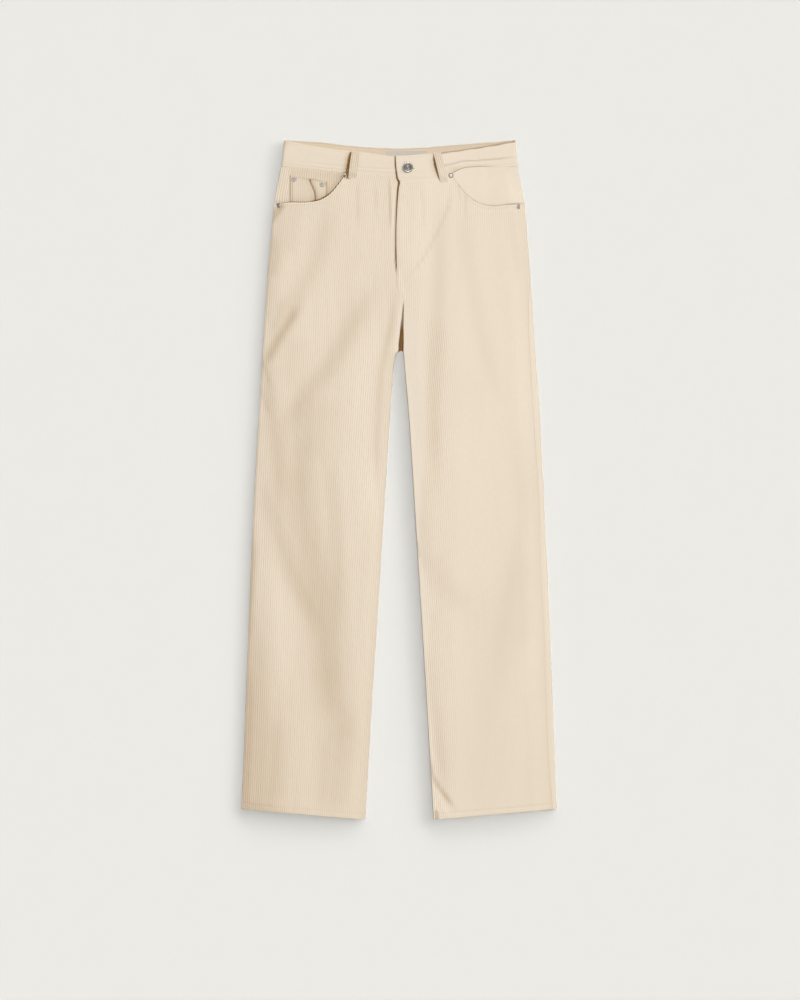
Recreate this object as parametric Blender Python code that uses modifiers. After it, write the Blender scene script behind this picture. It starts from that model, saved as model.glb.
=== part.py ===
"""Corduroy trousers, laid flat on their back with the front up.

Every cut piece of the garment is its own closed wall of cloth. Sizes are in
millimetres and go to metres when a mesh is made. X runs across the garment
(the wearer's right is -X), Y runs along it (the waist is +Y) and Z is up from
the surface that it lies on. A side is -1 for the wearer's right and 1 for the
left.
"""

import math
from collections import namedtuple
from functools import lru_cache

import bmesh
import bpy
import numpy as np

MM = 0.001

# ---- driving dimensions, mm -------------------------------------------------

HALF_LENGTH = 543.8          # from the middle of the garment to waist and hem
CLOTH = 1.9                  # thickness of one ply of corduroy
EDGE_BEVEL = 1.2             # a cut edge's inner face stops this far short
GAP = 0.3                    # space kept between pieces that are sewn together
SEAM = GAP / 2               # each piece stops this far from its seam line
LAYER_GAP = 0.5              # space between a panel and the ply under it
WALE_PITCH = 3.4             # one rib of the corduroy and its groove
WALES_PER_PANEL = 60         # ribs across a front panel
WALE_RISE = 0.28             # rib and groove lie this far above and below the cloth
EDGE_RADIUS = 3.2            # the cloth's fold along the sides of the legs
FOLD_STEPS = 30              # steps in a section round a folded edge
LIE_HEIGHT = 7.6             # top of the front cloth above the surface
EASE = 30.0                  # distance in which the front rises from a folded edge
EASE_START = 0.12            # share of that rise which the fold itself makes
ROLL_RUN = 15.0              # length in which the slit's edges roll down to the back
WAIST_EASE = 55.0            # distance in which the front rises to the waistband
HEM_DEPTH = 9.0              # height of the hem's stitch line above the edge
HEM_DIMPLE = 0.5
HEM_SLANT = 16.8             # the hem's outer end lies this far above its inner end

BAND = 3.0                   # thickness of the doubled waistband
BAND_REST = 2.1              # underside of the back waistband, on its belt loops
BACK_RISE = 2.3              # underside of the back panel at the waistband
BACK_RISE_FROM = 455.0       # height on the garment at which the back starts to rise
BACK_RISE_RUN = 40.0
BAND_TURN = 12.0             # the front waistband goes round the side by this much
BAND_WALES = 12
HALF_WAIST = 187.0
BAND_END_RIGHT = 30.0        # end of the right waistband, under the left one
FLY_LIFT = 2.8               # the left fly stands this far over the right front
FLY_LAP = 4.0                # the right front goes this far under the left fly
FLY_STEP = 12.0              # the left front starts to come down this far out
FLY_STEP_RUN = 50.0
FLY_OPENS = 300.0            # height at which the left front starts to lift
FLY_OPENS_RUN = 30.0
SHIELD_CLOTH = 1.4
SHIELD_LAP = 8.0             # the fly shield starts this far right of the fly's edge
FACING_CLOTH = 1.7
FACING_LAP = 12.0            # the facing goes this far under the pocket mouth
FACING_INSET = 12.0          # its covered part stops this far short of the side
FACING_INNER = 10.0          # and goes this far past the mouth's inner end
FACING_WIDTH = 110.0
SOFT_RIBS = 0.8              # ribs of the thinner pieces, as a share of the panels'
COIN_CLOTH = 1.5
COIN_CLEAR = 1.8             # the coin pocket ends this far inside the mouth

LOOP_WIDTH = 12.7
LOOP_CLOTH = 2.2
LOOP_ARCH = 0.9
BACK_LOOP_CLOTH = 1.8
BACK_LOOP_PLACES = {"right": -105.0, "centre": 0.0, "left": 105.0}

LOOP_REACH = 5.0             # a loop clears what lies this far along under it

LABEL_SIZE = (64.0, 21.0, 0.8)
LABEL_CENTRE = (12.8, 515.2)

BUTTON_PLACE = (13.6, 499.6)
BUTTON_RADIUS = 8.5
POST_RADIUS = 1.4
BUTTONHOLE_ENDS = (11.4, 25.6)
BUTTONHOLE_WIDTH = 3.4
RIVET_RADIUS = 4.0

CREAM = (0.83, 0.72, 0.57)
LABEL_GREY = (0.62, 0.60, 0.56)
STEEL = (0.42, 0.41, 0.42)

# ---- outlines ---------------------------------------------------------------

Edge = namedtuple("Edge", "y right left")

# Outline of the garment down its sides.
OUTER_EDGES = [
    Edge(543.8, -183.6, 186.6),
    Edge(518.0, -185.6, 188.2),
    Edge(490.0, -190.4, 192.0),
    Edge(440.0, -200.0, 201.4),
    Edge(400.0, -203.6, 205.0),
    Edge(337.0, -209.4, 209.6),
    Edge(209.0, -217.8, 217.8),
    Edge(127.0, -222.4, 224.0),
    Edge(31.0, -228.8, 229.0),
    Edge(-97.0, -235.2, 235.2),
    Edge(-225.0, -240.2, 241.0),
    Edge(-353.0, -245.0, 245.8),
    Edge(-481.0, -250.0, 250.4),
    Edge(-543.8, -253.2, 253.2),
]

# Inner edges of the legs. The first two rows bound the slit at the crotch, where
# the edges of the front roll down onto the back.
INNER_EDGES = [
    Edge(286.0, 7.2, 7.6),
    Edge(206.0, -0.4, 6.4),
    Edge(191.0, -7.8, 8.0),
    Edge(127.0, -13.2, 14.2),
    Edge(31.0, -19.2, 20.8),
    Edge(-97.0, -27.2, 28.8),
    Edge(-225.0, -35.2, 36.8),
    Edge(-353.0, -43.2, 44.8),
    Edge(-543.8, -54.4, 56.0),
]
FLY_BOTTOM = 332.0
CROTCH_TOP = 286.0
CROTCH_BOTTOM = 206.0
LEGS_PART = 191.0

Place = namedtuple("Place", "x y")

# Line where the fronts meet: the folded edge of the fly, then the crotch seam.
CENTRE_FRONT = [
    Place(-5.6, 520.0), Place(-4.5, 499.0), Place(-1.5, 483.0), Place(-1.3, 452.0),
    Place(-4.0, 409.0), Place(-3.2, 332.0), Place(-2.4, 308.0), Place(7.4, 286.0),
]
# Seat seam, on the underside.
CENTRE_BACK = [
    Place(0.0, 543.8), Place(2.0, 400.0), Place(7.4, 286.0), Place(3.0, 206.0),
]

# Edges of the waistband.
BACK_TOP = [
    Place(-184.0, 543.8), Place(-120.0, 539.6), Place(-76.0, 534.4), Place(0.0, 530.6),
    Place(43.0, 532.0), Place(99.0, 536.6), Place(187.0, 543.8),
]
FRONT_TOP = [
    Place(-184.0, 543.0), Place(-149.0, 536.2), Place(-93.0, 527.2), Place(-62.0, 524.2),
    Place(-8.0, 517.4), Place(53.0, 521.8), Place(91.0, 526.4), Place(128.0, 532.2),
    Place(187.0, 543.0),
]
BACK_SEAM = [
    Place(-200.0, 502.4), Place(-76.0, 495.0), Place(0.0, 491.0), Place(99.0, 497.0),
    Place(200.0, 502.4),
]
RIGHT_SEAM = [
    Place(-200.0, 502.4), Place(-158.0, 499.0), Place(-86.0, 492.0), Place(45.0, 485.4),
]
LEFT_SEAM = [
    Place(-8.0, 478.0), Place(50.0, 478.4), Place(82.0, 488.0), Place(101.0, 498.0),
    Place(122.0, 499.8), Place(162.0, 499.8), Place(200.0, 502.4),
]

# Pocket mouths, between the side seam and the waistband.
RIGHT_MOUTH = [
    Place(-205.0, 438.5), Place(-176.0, 442.8), Place(-147.0, 443.2),
    Place(-134.0, 444.8), Place(-125.6, 447.6), Place(-116.2, 453.4),
    Place(-107.2, 461.6), Place(-99.2, 471.4), Place(-91.5, 481.0),
    Place(-84.5, 492.2),
]
LEFT_MOUTH = [
    Place(82.4, 488.0), Place(88.4, 479.0), Place(94.4, 471.4), Place(106.7, 455.8),
    Place(115.0, 448.6), Place(130.2, 440.6), Place(151.7, 437.0),
    Place(170.0, 438.8), Place(206.0, 441.6),
]
# Upper edge and sides of the coin pocket.
COIN_TOP = [Place(-174.4, 486.6), Place(-140.8, 481.0), Place(-116.0, 476.0)]

# Sections of the fly shield: its width left of the fly's edge at each height.
Shield = namedtuple("Shield", "y width")
SHIELD_ROWS = [
    Shield(340.0, 8.0), Shield(352.0, 24.0), Shield(372.0, 36.0), Shield(430.0, 38.0),
    Shield(470.0, 38.0), Shield(490.0, 38.0),
]

# Where a facing rises to the face of the front, by the side and the waistband.
FACING_RISE = 0.85           # share of its depth that it comes up
RISE_CLEAR = 6.0             # it starts to rise this far above the mouth
RISE_RUN = 8.0
RISE_SIDE = 20.0
RISE_SIDE_RUN = 15.0
RISE_BAND_RUN = 13.0

# Distance along the cloth from the fold at the side to the outseam.
Outseam = namedtuple("Outseam", "y right left")
OUTSEAMS = [
    Outseam(332.0, 0.0, 0.0), Outseam(286.0, 0.0, 7.0), Outseam(-10.0, 0.0, 11.0),
    Outseam(-110.0, 0.0, 7.0), Outseam(-543.8, 0.0, 6.5),
]

# Height of the waistband's face. The left end lies over the right one.
Face = namedtuple("Face", "x z")
RIGHT_FACE = [Face(-187.0, 8.6), Face(-86.0, 8.9), Face(-45.0, 9.7), Face(60.0, 9.7)]
LEFT_FACE = [
    Face(-10.0, 13.4), Face(33.0, 13.4), Face(78.0, 9.7), Face(110.0, 8.9),
    Face(187.0, 8.6),
]

# Places across the waistband where its edges or its face bend.
RIGHT_STATIONS = [0.0, -45.0, -62.0, -86.0, -120.0, -158.0]
LEFT_STATIONS = [12.0, 33.0, 50.0, 66.0, 82.0, 101.0, 122.0, 162.0]

# Largest folds of the front: a trough from one place to the other, whose depth
# fades at both ends. A negative depth is a ridge.
Fold = namedtuple("Fold", "x_from y_from x_to y_to half_width depth")
FOLDS = [
    Fold(-163.0, 285.0, -219.0, 180.0, 13.0, 1.5),
    Fold(-34.0, 330.0, -104.0, 195.0, 13.0, 1.3),
    Fold(-104.0, 195.0, -176.0, 90.0, 15.0, 1.3),
    Fold(-118.0, 390.0, -163.0, 290.0, 14.0, 0.9),
    Fold(-226.0, 5.0, -186.0, -112.0, 16.0, 1.3),
    Fold(-186.0, -112.0, -118.0, -252.0, 24.0, 1.6),
    Fold(-118.0, -252.0, -76.0, -390.0, 20.0, 1.4),
    Fold(-180.0, -150.0, -186.0, -330.0, 16.0, -0.3),
    Fold(61.0, 215.0, 49.0, -20.0, 13.0, 1.1),
    Fold(106.0, 425.0, 162.0, 165.0, 14.0, 1.0),
    Fold(32.0, -112.0, 106.0, -190.0, 14.0, 1.1),
    Fold(45.0, -280.0, 74.0, -440.0, 14.0, 1.3),
    Fold(60.0, -440.0, 96.0, -530.0, 12.0, 1.6),
    Fold(174.0, -190.0, 154.0, -350.0, 16.0, 0.9),
]

# Rows of the panels from the hem to the bottom of the fly, and above it as
# shares of the way to the upper edge.
LEG_ROWS = [-430.0, -320.0, -215.0, -110.0, -10.0, 95.0]
CROTCH_ROWS = [LEGS_PART, CROTCH_BOTTOM, CROTCH_TOP, 308.0, FLY_BOTTOM]
CROTCH_SPREAD = 6            # power by which the ribs by the crotch take up its width
SETTLE_ROUNDS = 5            # rounds in which a place and its height settle
UPPER_SHARES = (0.42, 0.8, 1.0)
BACK_ROWS = [370.0, 410.0, 440.0, 455.0, 475.0]
FACING_SHARES = (0.0, 0.19, 0.32, 0.8, 1.0)
COIN_SHARES = (0.0, 0.35, 0.7, 1.0)
LOOP_SHARES = (0.0, 0.12, 0.35, 0.65, 0.88, 1.0)
RIM_SHARES = (0.0, 0.013, 0.03, 0.06)   # columns of a plain face at a folded edge
PLAIN_COLUMNS = 17

Loop = namedtuple("Loop", "name side x_top y_top x_bottom y_bottom")
FRONT_LOOPS = [
    Loop("belt_loop_front_right", -1, -69.7, 523.8, -75.2, 482.4),
    Loop("belt_loop_front_left", 1, 60.8, 521.6, 72.0, 475.8),
]

# Profiles of the metal, top to bottom: share of the radius, and height.
Turn = namedtuple("Turn", "share height")
BUTTON_HEAD = [
    Turn(0.0, 2.6), Turn(0.62, 2.4), Turn(0.74, 3.2), Turn(0.92, 3.1), Turn(1.0, 2.0),
    Turn(0.62, 0.6),
]
RIVET_HEAD = [
    Turn(0.0, 1.5), Turn(0.4, 0.9), Turn(0.8, 1.3), Turn(1.0, 0.0), Turn(0.0, 0.0),
]

Rivet = namedtuple("Rivet", "name x y")
PANEL_RIVETS = [
    Rivet("rivet_mouth_top_right", -87.4, 485.4),
    Rivet("rivet_mouth_side_right", -192.6, 438.6),
    Rivet("rivet_mouth_top_left", 85.4, 484.8),
    Rivet("rivet_mouth_side_left", 191.6, 437.0),
]
COIN_RIVETS = [
    Rivet("rivet_coin_outer", -167.8, 480.0),
    Rivet("rivet_coin_inner", -122.8, 471.6),
]


# ---- small helpers ----------------------------------------------------------

def between(positions, values, at):
    """Values of a table at some positions, linear between its rows."""
    order = np.argsort(positions)
    return np.interp(at, np.array(positions)[order], np.array(values)[order])


def height_at(curve, x):
    """Height of a curve of places at x."""
    return between([place[0] for place in curve], [place[1] for place in curve], x)


def centre_at(curve, y):
    return float(between([place.y for place in curve], [place.x for place in curve], y))


def edge_at(table, side, y):
    column = 1 if side < 0 else 2
    return float(between([row.y for row in table], [row[column] for row in table], y))


def smooth(share):
    share = np.clip(share, 0.0, 1.0)
    return share * share * (3.0 - 2.0 * share)


def lengths(path):
    """Length along a path at each of its points."""
    return np.concatenate(([0.0], np.cumsum(np.hypot(*np.diff(path, axis=0).T))))


def normals(path, side):
    """Unit normals of a path on the outer side of the cloth."""
    run = np.gradient(path, axis=0)
    run /= np.maximum(np.hypot(run[:, 0], run[:, 1]), 1e-9)[:, None]
    return np.column_stack((run[:, 1], -run[:, 0])) * side


def pick(path, side, stops, out):
    """Points (x, z) at some lengths along a path, moved out from the cloth."""
    along = lengths(path)
    facing = normals(path, side)
    points = []
    for column in (0, 1):
        place = np.interp(stops, along, path[:, column])
        points.append(place + np.interp(stops, along, facing[:, column]) * out)
    return np.column_stack(points)


def wales(count):
    """Heights across corduroy: up on a rib, down in a groove, none at the ends."""
    rise = np.where(np.arange(count) % 2, WALE_RISE, -WALE_RISE)
    rise[[0, -1]] = 0.0
    return rise


def wale_columns(width):
    """Number of columns that give a width its wales, two to a wale."""
    return 2 * round(width / WALE_PITCH) + 1


# ---- the lie of the cloth ---------------------------------------------------

def front_seam(side, x):
    """Lower edge of the waistband at the front."""
    return height_at(RIGHT_SEAM if side < 0 else LEFT_SEAM, x)


def band_face(side, x):
    return height_at(RIGHT_FACE if side < 0 else LEFT_FACE, x)


def fold_depth(x, y):
    """Depth of all the folds along x, at one y."""
    depth = np.zeros_like(x)
    for fold in FOLDS:
        run = np.array((fold.x_to - fold.x_from, fold.y_to - fold.y_from))
        length = math.hypot(*run)
        run = run / length
        along = ((x - fold.x_from) * run[0] + (y - fold.y_from) * run[1]) / length
        across = ((x - fold.x_from) * run[1] - (y - fold.y_from) * run[0])
        ends = smooth((along + 0.25) / 0.4) * smooth((1.25 - along) / 0.4)
        depth += fold.depth * ends * np.exp(-(across / fold.half_width) ** 2)
    return depth


def cloth_height(side, x, y):
    """Face of a front panel away from its folded edges."""
    height = LIE_HEIGHT - fold_depth(x, y)
    if side > 0:
        over_right = 1.0 - smooth((x - FLY_STEP) / FLY_STEP_RUN)
        opened = smooth((y - FLY_OPENS) / FLY_OPENS_RUN)
        height = height + FLY_LIFT * over_right * opened
    meets_band = band_face(side, x) - BAND / 2 + CLOTH / 2
    near_band = smooth((y - front_seam(side, x)) / WAIST_EASE + 1.0)
    return height + (meets_band - height) * near_band


def back_lift(y):
    """Height of the back's underside, which rises to the waistband."""
    return float(BACK_RISE * smooth((y - BACK_RISE_FROM) / BACK_RISE_RUN))


@lru_cache(maxsize=None)
def front_path(side, y):
    """Section of the front from the fold at the side to its inner edge."""
    outer = edge_at(OUTER_EDGES, side, y)
    joined = y > CROTCH_TOP - 1.0
    inner = centre_at(CENTRE_FRONT, y) if joined else edge_at(INNER_EDGES, side, y)
    base = back_lift(y)
    turn = np.linspace(0.0, math.pi / 2, FOLD_STEPS + 1)
    radius = EDGE_RADIUS
    points = [(radius * (1 - math.cos(a)), base + radius * (1 + math.sin(a)))
              for a in turn]
    width = abs(inner - outer)
    last = width if joined else width - radius
    distance = np.linspace(radius, last, 160)[1:]
    rise = smooth((distance - radius) / EASE + EASE_START)
    if not joined:
        rise = rise * smooth((last - distance) / EASE + EASE_START)
    edge_top = 2 * radius + base
    height = cloth_height(side, outer - side * distance, y)
    points += list(zip(distance, edge_top + (height - edge_top) * rise))
    if not joined:
        centre = points[-1][1] - radius
        points += [(last + radius * math.sin(a), centre + radius * math.cos(a))
                   for a in turn[1:]]
        drop = (centre - CLOTH - GAP) * smooth((y - LEGS_PART) / ROLL_RUN)
        points += [(width, centre - drop * share) for share in (0.5, 1.0) if drop]
    path = np.array(points)
    path[:, 0] = outer - side * path[:, 0]
    return path


def fly_lap(side, y):
    """How far the right front goes on under the left one."""
    lap = FLY_LAP * smooth((y - FLY_BOTTOM) / FLY_OPENS_RUN)
    return float(lap) if side < 0 else 0.0


@lru_cache(maxsize=None)
def panel_span(side, y):
    """Lengths along the front's section at which its panel starts and ends."""
    start = edge_at(OUTSEAMS, side, y) + SEAM
    return start, lengths(front_path(side, y))[-1] - SEAM + fly_lap(side, y)


def rib_span(side, y):
    """Length that a panel's ribs spread over: it is steady past the crotch."""
    ends = [np.subtract(*panel_span(side, row)[::-1]) for row in (LEGS_PART, FLY_BOTTOM)]
    if LEGS_PART < y < FLY_BOTTOM:
        return np.interp(y, (LEGS_PART, FLY_BOTTOM), ends)
    return np.subtract(*panel_span(side, y)[::-1])


def front_points(side, y, shares, out):
    """Places on the front at shares of the panel's width, moved out."""
    path = front_path(side, y)
    lap = fly_lap(side, y)
    if lap:
        path = np.vstack((path, path[-1] + np.array((lap + 1.0, 0.0))))
    start, end = panel_span(side, y)
    steady = rib_span(side, y)
    shares = np.asarray(shares)
    stops = start + steady * shares + (end - start - steady) * shares ** CROTCH_SPREAD
    return [(x, y, z) for x, z in pick(path, side, stops, out)]


def surface_height(side, x, y):
    """Height of the front's face over one place."""
    path = front_path(side, round(float(y), 2))
    order = np.argsort(path[:, 0])
    return float(np.interp(x, path[order, 0], path[order, 1]))


def column_heights(side, shares, curve):
    """Where each column of the front, at its share of the width, meets a curve."""
    heights = np.full(len(shares), RIGHT_MOUTH[0].y)
    for _ in range(SETTLE_ROUNDS):
        for i, share in enumerate(shares):
            x = front_points(side, round(heights[i], 2), [share], 0.0)[0][0]
            heights[i] = curve(x)
    return heights


def uneven_row(side, heights, shares, out):
    """A row of the front whose columns each have their own height."""
    out = np.broadcast_to(out, (len(shares),))
    return [front_points(side, round(float(y), 2), [share], o)[0]
            for y, share, o in zip(heights, shares, out)]


def hem_line(x):
    """Height of the hem, which rises to the outer side of each leg."""
    leg_width = OUTER_EDGES[-1].left - INNER_EDGES[-1].left
    share = (np.abs(x) - INNER_EDGES[-1].left) / leg_width
    return -HALF_LENGTH + HEM_SLANT * share


def front_upper_edge(side, x):
    """Upper edge of a front panel: its pocket mouth, then the waistband's seam."""
    mouth = RIGHT_MOUTH if side < 0 else LEFT_MOUTH
    at_mouth = x < RIGHT_MOUTH[-1].x if side < 0 else x > LEFT_MOUTH[0].x
    return height_at(mouth, x) if at_mouth else front_seam(side, x) - GAP


# ---- meshes -----------------------------------------------------------------

def start_scene():
    """Clear the scene and make the garment's and the cutters' collections."""
    for old in list(bpy.data.objects):
        bpy.data.objects.remove(old, do_unlink=True)
    made = []
    for name in ("corduroy_trousers", "cutters"):
        collection = bpy.data.collections.new(name)
        bpy.context.scene.collection.children.link(collection)
        made.append(collection)
    return made


def add_object(name, data, colour, roughness=0.95, metallic=0.0):
    """Put a mesh in the garment with a material of its own."""
    material = bpy.data.materials.new(name)
    material.use_nodes = True
    shader = material.node_tree.nodes["Principled BSDF"]
    shader.inputs["Base Color"].default_value = (*colour, 1.0)
    shader.inputs["Roughness"].default_value = roughness
    shader.inputs["Metallic"].default_value = metallic
    data.materials.append(material)
    made = bpy.data.objects.new(name, data)
    garment.objects.link(made)
    return made


def finish_mesh(name, mesh):
    data = bpy.data.meshes.new(name)
    mesh.to_mesh(data)
    mesh.free()
    return data


def zip_rows(mesh, long_row, short_row):
    """Faces between two rows with unlike numbers of points."""
    i = j = 0
    last_i, last_j = len(long_row) - 1, len(short_row) - 1
    while i < last_i or j < last_j:
        long_is_next = (i + 1) / last_i <= (j + 1) / last_j
        if j == last_j or (i < last_i and long_is_next):
            mesh.faces.new((long_row[i], long_row[i + 1], short_row[j]))
            i += 1
        else:
            mesh.faces.new((long_row[i], short_row[j + 1], short_row[j]))
            j += 1


def wall(name, outer_rows, inner_rows, colour=CREAM):
    """A closed wall between an outer and an inner face, each a list of rows.

    The faces have equally many rows. Where a row is shorter than the one
    before it, both faces end there in a rim.
    """
    mesh = bmesh.new()
    outer, inner = (
        [[mesh.verts.new((x * MM, y * MM, z * MM)) for x, y, z in row] for row in rows]
        for rows in (outer_rows, inner_rows))
    for grid in (outer, inner):
        for low, high in zip(grid, grid[1:]):
            for c in range(min(len(low), len(high)) - 1):
                mesh.faces.new((low[c], low[c + 1], high[c + 1], high[c]))
    for r in range(len(outer) - 1):
        end = min(len(outer[r]), len(outer[r + 1])) - 1
        inner_end = min(len(inner[r]), len(inner[r + 1])) - 1
        for a, b in ((0, 0), (end, inner_end)):
            mesh.faces.new((outer[r][a], outer[r + 1][a], inner[r + 1][b], inner[r][b]))
        for c in range(end, len(outer[r]) - 1):
            mesh.faces.new((outer[r][c], outer[r][c + 1], inner[r][c + 1], inner[r][c]))
    for end in (0, -1):
        zip_rows(mesh, outer[end], inner[end])
    bmesh.ops.recalc_face_normals(mesh, faces=mesh.faces)
    return add_object(name, finish_mesh(name, mesh), colour)


def turned(name, profile, place, colour=STEEL, steps=20):
    """A turned metal piece from its profile (radius, height), top to bottom."""
    mesh = bmesh.new()
    points = [mesh.verts.new((r * MM, 0.0, z * MM)) for r, z in profile]
    for a, b in zip(points, points[1:]):
        mesh.edges.new((a, b))
    made = add_object(name, finish_mesh(name, mesh), colour, 0.35, 1.0)
    made.location = [size * MM for size in place]
    screw = made.modifiers.new("turn", "SCREW")
    screw.steps = screw.render_steps = steps
    screw.use_merge_vertices = True
    screw.merge_threshold = 0.00002
    return made


def slab(name, low, high, bevel, colour=CREAM):
    """A flat piece between two corners, with eased edges."""
    bpy.ops.mesh.primitive_cube_add(size=1.0)
    cube = bpy.context.object
    data = cube.data
    bpy.data.objects.remove(cube)
    for vertex in data.vertices:
        vertex.co = [(low[i] + (high[i] - low[i]) * (vertex.co[i] + 0.5)) * MM
                     for i in range(3)]
    data.name = name
    made = add_object(name, data, colour)
    if bevel:
        eased = made.modifiers.new("eased", "BEVEL")
        eased.width = bevel * MM
        eased.segments = 1
    return made


# ---- legs -------------------------------------------------------------------

def inner_shares():
    """Shares for a plain face: closer together at its folded edges."""
    rim = np.array(RIM_SHARES)
    middle = np.linspace(rim[-1], 1.0 - rim[-1], PLAIN_COLUMNS - 2 * len(rim) + 2)
    return np.concatenate((rim[:-1], middle, 1.0 - rim[-2::-1]))


def front_rows(side, shares, out, short=0.0):
    """Rows of a front panel from the hem to its upper edge, or short of it."""
    middle = HEM_SLANT / 2 - HALF_LENGTH
    hem_x = [x for x, _, _ in front_points(side, middle, shares, 0.0)]
    hem = hem_line(np.array(hem_x))
    rows = [uneven_row(side, hem, shares, out)]
    rows.append(uneven_row(side, hem + HEM_DEPTH, shares, out - HEM_DIMPLE))
    rows += [front_points(side, y, shares, out) for y in LEG_ROWS + CROTCH_ROWS]
    top = column_heights(side, shares, lambda x: front_upper_edge(side, x))
    for share in UPPER_SHARES:
        heights = FLY_BOTTOM + (top - short - FLY_BOTTOM) * share
        rows.append(uneven_row(side, heights, shares, out))
    return rows


def make_front_panel(name, side):
    """A front panel: ribbed outside, plain inside."""
    columns = 2 * WALES_PER_PANEL + 1
    outer = front_rows(side, np.linspace(0.0, 1.0, columns), wales(columns))
    inner = front_rows(side, inner_shares(), -CLOTH, EDGE_BEVEL)
    wall(name, outer, inner)


def back_path(side, y):
    """Section of the back, from the outseam round the side to its inner end.

    Returns the path and the lengths at which its underside starts and ends.
    """
    outer = edge_at(OUTER_EDGES, side, y)
    base = back_lift(y)
    radius = EDGE_RADIUS
    wrap = edge_at(OUTSEAMS, side, y)
    first = SEAM / radius
    points = []
    if wrap > 2 * SEAM:
        stops = np.linspace(wrap - SEAM, 0.0, 14)
        points = [tuple(p) for p in pick(front_path(side, y), side, stops, 0.0)][:-1]
        first = 0.0
    points += [(outer - side * radius * (1 - math.cos(a)), base + radius * (1 - math.sin(a)))
               for a in np.linspace(first, math.pi / 2, 25)]
    rest_start = len(points) - 1
    if y < CROTCH_BOTTOM - 1.0:
        edge = edge_at(INNER_EDGES, side, y)
        end = edge + side * radius
    else:
        end = centre_at(CENTRE_BACK, y) + side * SEAM
    points += [(x, base) for x in np.linspace(points[-1][0], end, 60)[1:]]
    rest_end = len(points) - 1
    if y < CROTCH_BOTTOM - 1.0:
        points += [(edge + side * radius * (1 - math.sin(a)), base + radius * (1 - math.cos(a)))
                   for a in np.linspace(0.0, math.pi / 2 - SEAM / radius, 25)[1:]]
    path = np.array(points)
    along = lengths(path)
    return path, along[rest_start], along[rest_end]


def back_row(side, y, out):
    path, start, end = back_path(side, y)
    stops = [np.linspace(0.0, start, 6), np.linspace(start, end, 4)[1:]]
    if y < CROTCH_BOTTOM - 1.0:
        stops.append(np.linspace(end, lengths(path)[-1], 5)[1:])
    return [(x, y, z) for x, z in pick(path, -side, np.concatenate(stops), out)]


def moved_row(row, heights):
    return [(x, y, z) for (x, _, z), y in zip(row, heights)]


def make_back_panel(name, side):
    """A back panel: flat where it rests, and turned up round the leg's sides."""
    faces = []
    for out in (0.0, -CLOTH):
        hem = back_row(side, -HALF_LENGTH, out)
        edge = hem_line(np.array([x for x, _, _ in hem]))
        rows = [moved_row(hem, edge), moved_row(hem, edge + HEM_DEPTH)]
        rows += [back_row(side, y, out) for y in LEG_ROWS + CROTCH_ROWS + BACK_ROWS]
        top = back_row(side, 495.0, out)
        seam = height_at(BACK_SEAM, np.array([x for x, _, _ in top])) - GAP
        rows.append(moved_row(top, seam))
        faces.append(rows)
    wall(name, *faces)


# ---- pockets and fly --------------------------------------------------------

def mouth_curve(side, x):
    """Lower edge of the pocket's opening, and the waistband seam past its end."""
    mouth = RIGHT_MOUTH if side < 0 else LEFT_MOUTH
    return min(float(height_at(mouth, x)), float(front_seam(side, x)))


def facing_depth(side, x, y):
    """How far the facing lies under the face of the front."""
    clear = y - mouth_curve(side, x)
    from_side = abs(x - edge_at(OUTER_EDGES, side, y))
    exposed = smooth((clear - RISE_CLEAR) / RISE_RUN)
    near_side = smooth((RISE_SIDE - from_side) / RISE_SIDE_RUN) * exposed
    near_band = smooth((y - front_seam(side, x)) / RISE_BAND_RUN + 1.0) * exposed
    return (CLOTH + LAYER_GAP) * (1.0 - FACING_RISE * max(near_side, near_band))


def facing_rows(side, shares, out):
    """Rows of a pocket facing, from under the mouth up to the waistband."""
    mouth_end = RIGHT_MOUTH[-1].x if side < 0 else LEFT_MOUTH[0].x
    inner_x = mouth_end - side * FACING_INNER
    rows = []
    for level in FACING_SHARES:
        row = []
        for share, o in zip(shares, np.broadcast_to(out, (len(shares),))):
            y = RIGHT_MOUTH[0].y
            for _ in range(SETTLE_ROUNDS):
                side_x = edge_at(OUTER_EDGES, side, y)
                covered = y < mouth_curve(side, side_x) + RISE_CLEAR
                start = side_x - side * EDGE_RADIUS
                x = start + (inner_x - start) * share
                if covered:
                    x -= side * (FACING_INSET - EDGE_RADIUS) * (1.0 - share) ** 3
                low = mouth_curve(side, x) - FACING_LAP
                high = float(front_seam(side, x)) - GAP
                y = low + (high - low) * level
            z = surface_height(side, x, y) - facing_depth(side, x, y) + o
            row.append((x, y, z))
        rows.append(row)
    return rows


def make_facing(name, side):
    columns = wale_columns(FACING_WIDTH)
    ribs = wales(columns) * SOFT_RIBS
    outer = facing_rows(side, np.linspace(0.0, 1.0, columns), ribs)
    inner = facing_rows(side, np.linspace(0.0, 1.0, 12), -FACING_CLOTH)
    wall(name, outer, inner)


def make_coin_pocket():
    """The coin pocket, on the right facing and down to the pocket's mouth."""
    def rows(count, out, short=0.0):
        across = np.linspace(COIN_TOP[0].x, COIN_TOP[-1].x, count)
        made = []
        for level in COIN_SHARES:
            row = []
            for x, o in zip(across, np.broadcast_to(out, (count,))):
                low = mouth_curve(-1, x) + COIN_CLEAR + short
                y = low + (float(height_at(COIN_TOP, x)) - low) * level
                face = surface_height(-1, x, y) - facing_depth(-1, x, y)
                row.append((x, y, face + WALE_RISE + LAYER_GAP + COIN_CLOTH + o))
            made.append(row)
        return made

    columns = wale_columns(COIN_TOP[-1].x - COIN_TOP[0].x)
    wall("coin_pocket", rows(columns, wales(columns) * SOFT_RIBS),
         rows(12, -COIN_CLOTH, EDGE_BEVEL))


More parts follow.
